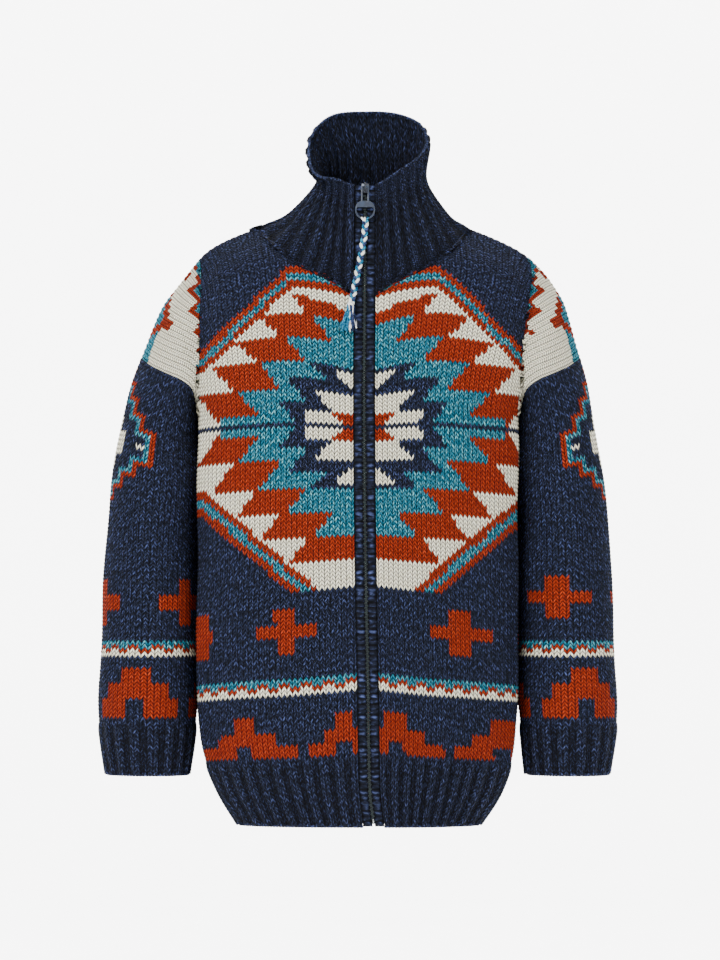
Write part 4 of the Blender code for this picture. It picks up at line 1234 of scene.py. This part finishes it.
def slider():
    """The slider's body, wide at its top, with the arch that holds the pull's bar."""
    mesh = bmesh.new()
    made = bmesh.ops.create_cube(mesh, size=1.0)["verts"]
    bmesh.ops.scale(mesh, verts=made, vec=SLIDER_SIZE)
    for vert in made:
        if vert.co.z < 0:
            vert.co.x *= SLIDER_TAPER
    bmesh.ops.bevel(mesh, geom=mesh.edges[:], offset=0.0007, segments=3, affect="EDGES", profile=0.5,
                    material=-1)
    bmesh.ops.rotate(mesh, verts=mesh.verts, cent=(0, 0, 0), matrix=Matrix.Rotation(-PULL_TILT, 3, "X"))
    bmesh.ops.translate(mesh, verts=mesh.verts, vec=on_pull(0.0, 0.0014, -0.0027))
    turn = np.linspace(0.0, math.pi, 17)
    arch = [on_pull(0.0, ARCH_HALF * math.cos(a), -0.0020 + ARCH_HEIGHT * math.sin(a)) for a in turn]
    add_tubes(mesh, [arch], ARCH_RADIUS, 3)
    data = smooth_mesh(mesh, "slider_body")
    finished("slider_body", data, "cardigan", "slider_steel", [steel_material], "zip_slider")


def pull_tab():
    """The pull's flat metal, with softened edges: two rails from the bar, and a ring whose top is filled."""
    half, bar = LINK_HALF_WIDTH, TAB_THICK / 2
    end = TAB_RING_MIDDLE - TAB_RING + 0.0012

    def arc(radius, start, count):
        turn = np.linspace(start, 2 * math.pi - start, count)
        return [(radius * math.sin(a), TAB_RING_MIDDLE - radius * math.cos(a)) for a in turn]
    slot = half - LINK_RAIL
    loops = (
        [(-half, -bar), (half, -bar)] + arc(TAB_RING, math.asin(half / TAB_RING), 65),
        [(-slot, bar), (slot, bar), (slot, end), (-slot, end)],
        arc(TAB_RING - TAB_RIM, TAB_SOLID, 49),
    )
    curve = bpy.data.curves.new("pull_tab", "CURVE")
    curve.dimensions = "2D"
    curve.fill_mode = "BOTH"
    curve.extrude = TAB_THICK / 2 - TAB_ROUNDING
    curve.bevel_depth = TAB_ROUNDING
    curve.bevel_resolution = 2
    curve.offset = -TAB_ROUNDING
    draw(curve, [[(across, -down, 0.0) for across, down in loop] for loop in loops], True)
    data = mesh_of(curve)
    data.transform(Matrix.Translation(PULL_BAR) @ Matrix.Rotation(math.pi / 2 - PULL_TILT, 4, "X"))
    finished("pull_tab_metal", data, "pull", "pull_lacquer", [lacquer_material], "pull_tab")


def frames_along(line):
    """At each point of a line, two directions across it."""
    tangent = np.gradient(line, axis=0)
    tangent /= np.linalg.norm(tangent, axis=1, keepdims=True)
    level = np.ptp(line[:, 2]) < np.ptp(line[:, 0])
    side = np.cross(tangent, (0.0, 0.0, 1.0) if level else (0.0, 1.0, 0.0))
    side /= np.linalg.norm(side, axis=1, keepdims=True)
    return side, np.cross(side, tangent)


def braid():
    """The pull's cord: three yarns plaited flat."""
    line = curve_through(CORD_ROUTE, 130)
    side, out = frames_along(line)
    turns = 2 * math.pi * lengths_along(line) / PLAIT_TURN
    mesh = bmesh.new()
    for k in range(3):
        phase = (turns + 2 * math.pi * k / 3)[:, None]
        strand = line + side * (0.0021 * np.sin(phase)) + out * (0.0011 * np.sin(2 * phase))
        add_tubes(mesh, [strand], STRAND_RADIUS, index=k)
    data = smooth_mesh(mesh, "pull_braid")
    return finished("pull_braid", data, "pull", "pull_yarn", yarn_materials, "pull_cord"), line


def wraps():
    """Yarn turned round the ring's rim, and the whipping where the cord ends in the tassel."""
    mesh = bmesh.new()
    rim = np.array(on_pull(0.0, TAB_RING_MIDDLE + TAB_RING - TAB_RIM / 2))
    turn = np.linspace(0.0, 2 * math.pi, 24, endpoint=False)
    for k, (across, slant) in enumerate(((-0.0022, 0.0016), (0.0018, -0.0014), (-0.0002, 0.0004))):
        line = [rim + (across - slant * math.cos(a), -0.0022 * math.sin(a) - 0.0003,
                       0.0021 * math.cos(a) - 0.0009) for a in turn]
        add_tubes(mesh, [line], 0.0011, closed=True, index=k % 2)
    top = np.array(TASSEL_TOP) + (0.0, 0.0, 0.0015)
    lines = [[top + (0.0030 * math.cos(a), 0.0030 * math.sin(a), -0.0012 * k) for a in turn]
             for k in range(3)]
    add_tubes(mesh, lines, 0.0010, closed=True)
    data = smooth_mesh(mesh, "pull_wraps")
    return finished("pull_wraps", data, "pull", "pull_yarn", yarn_materials[:2])


def tassel():
    """Cut yarn ends that hang from the knot, apart by colour."""
    rng = np.random.default_rng(7)
    mesh = bmesh.new()
    down = np.linspace(0.0, 1.0, 9)
    for index, count, across in ((0, 5, 0.34), (1, 26, -0.80), (2, 18, 0.05)):
        lines = []
        for _ in range(count):
            angle, radius = rng.uniform(0, 2 * math.pi), TASSEL_ROOT * math.sqrt(rng.uniform(0, 1))
            root = np.array((radius * math.cos(angle), radius * math.sin(angle), 0.0))
            reach = rng.uniform(0.75, 1.0)
            drift = np.array((across * 0.0085 + rng.normal(0, 0.0014), -0.0075 + rng.normal(0, 0.0010), 0.0))
            wave, sway = rng.uniform(0, 6.28), rng.uniform(0.0005, 0.0014)
            lines.append([np.array(TASSEL_TOP) + root * (1 + 0.5 * s) + drift * s ** 1.3
                          + (sway * math.sin(6 * s + wave), 0.0003 * math.cos(4 * s + wave),
                             -TASSEL_LENGTH * s * reach) for s in down])
        add_tubes(mesh, lines, 0.00085, 1, index=index)
    data = smooth_mesh(mesh, "pull_tassel_ends")
    return finished("pull_tassel_ends", data, "pull", "tassel_yarn", yarn_materials, "pull_tassel")


tape_material = tape_cloth("zip_tape_cloth")
teeth_material = metal("zip_teeth_metal", srgb(11, 17, 21), srgb(28, 42, 42), 0.5, 0.3)
steel_material = metal("slider_steel", srgb(40, 43, 50), srgb(84, 88, 96), 0.3, 1.0)
lacquer_material = metal("pull_lacquer", srgb(8, 22, 40), srgb(18, 38, 62), 0.3, 0.0, coat=0.3)
yarn_materials = [
    plain_yarn("white_yarn", (srgb(176, 176, 170), srgb(222, 222, 216), srgb(244, 244, 240))),
    plain_yarn("teal_yarn", (srgb(6, 50, 80), srgb(20, 88, 122), srgb(72, 152, 176))),
    plain_yarn("navy_yarn", (srgb(14, 20, 36), srgb(30, 40, 66), srgb(62, 76, 116))),
]

navy_edge = plain_yarn("navy_edge", YARNS[NAVY])
front(-1, "front_left", 13.0)
front(1, "front_right", 15.5)
back()
sleeve(-1, "sleeve_left", 6.5, 15.5, 45.0)
sleeve(1, "sleeve_right", 12.0, 16.5, 46.5)
collar()
band(-1, "band_left")
band(1, "band_right")
edges.append((hem_edge(), False))
cast_off("cast_off_edges", edges)
zip_tape(-1, "zip_tape_left")
zip_tape(1, "zip_tape_right")
zip_teeth()
slider()
pull_tab()
cord_piece, cord_line = braid()
wrap_piece = wraps()
tassel_piece = tassel()


# Floor, light and camera

def backdrop():
    """A plain pale floor, round, that sweeps up to a low wall far from the garment."""
    floor, radius, bend, wall = -1.45, 13.0, 2.0, 3.0
    turn = np.linspace(0.0, math.pi / 2, 13)
    profile = [(0.01, floor)] + [(radius - bend + bend * math.sin(a), floor + bend - bend * math.cos(a))
                                 for a in turn] + [(radius, floor + bend + wall)]
    mesh = bmesh.new()
    line = [mesh.verts.new((x, 0.0, z)) for x, z in profile]
    chain = [mesh.edges.new(pair) for pair in zip(line, line[1:])]
    bmesh.ops.spin(mesh, geom=line + chain, cent=(0, 0, 0), axis=(0, 0, 1), angle=2 * math.pi, steps=64,
                   use_merge=True)
    bmesh.ops.recalc_face_normals(mesh, faces=mesh.faces)
    data = smooth_mesh(mesh, "backdrop")
    n = Nodes("pale_paper")
    grain = n.noise(n.coordinates(), 3.0, 2.0, 0.5)
    colour = n.ramp(grain, ((0.0, (0.93, 0.93, 0.93, 1)), (1.0, (0.97, 0.97, 0.97, 1))))
    data.materials.append(n.finish(Base_Color=colour, Roughness=0.9))
    placed("backdrop", data)


def area_light(name, at, target, size, power):
    light = bpy.data.lights.new(name, "AREA")
    light.size = size
    light.energy = power
    holder = placed(name, light)
    holder.location = at
    holder.rotation_euler = (Vector(target) - Vector(at)).to_track_quat("-Z", "Y").to_euler()


backdrop()
world = bpy.data.worlds.new("soft_room")
bpy.context.scene.world = world
world.use_nodes = True
world.node_tree.nodes["Background"].inputs[0].default_value = (1.0, 1.0, 1.0, 1.0)
world.node_tree.nodes["Background"].inputs[1].default_value = 1.05
AIM = (0.0, 0.0, -0.30)
area_light("key", (-2.0, -3.8, 3.2), AIM, 2.2, 380)
area_light("fill", (2.8, -4.0, 1.8), AIM, 2.8, 110)
area_light("rear", (0.0, 4.0, 3.4), AIM, 2.6, 160)
for wash_x in (-4.0, 4.0):
    area_light("wall_wash", (wash_x, 6.0, 5.0), (wash_x / 2, 12.5, -0.3), 4.0, 2600)

CAMERA_AWAY = 8.0
VIEW_HEIGHT = 1.104
camera = bpy.data.cameras.new("camera")
camera.sensor_fit = "VERTICAL"
camera.sensor_height = 24.0
camera.lens = 24.0 * CAMERA_AWAY / VIEW_HEIGHT
camera.clip_end = 60.0
camera_holder = placed("camera", camera)
camera_holder.location = (-0.0023, -CAMERA_AWAY, -0.3048)
camera_holder.rotation_euler = (math.pi / 2, 0.0, 0.0)
bpy.context.scene.camera = camera_holder
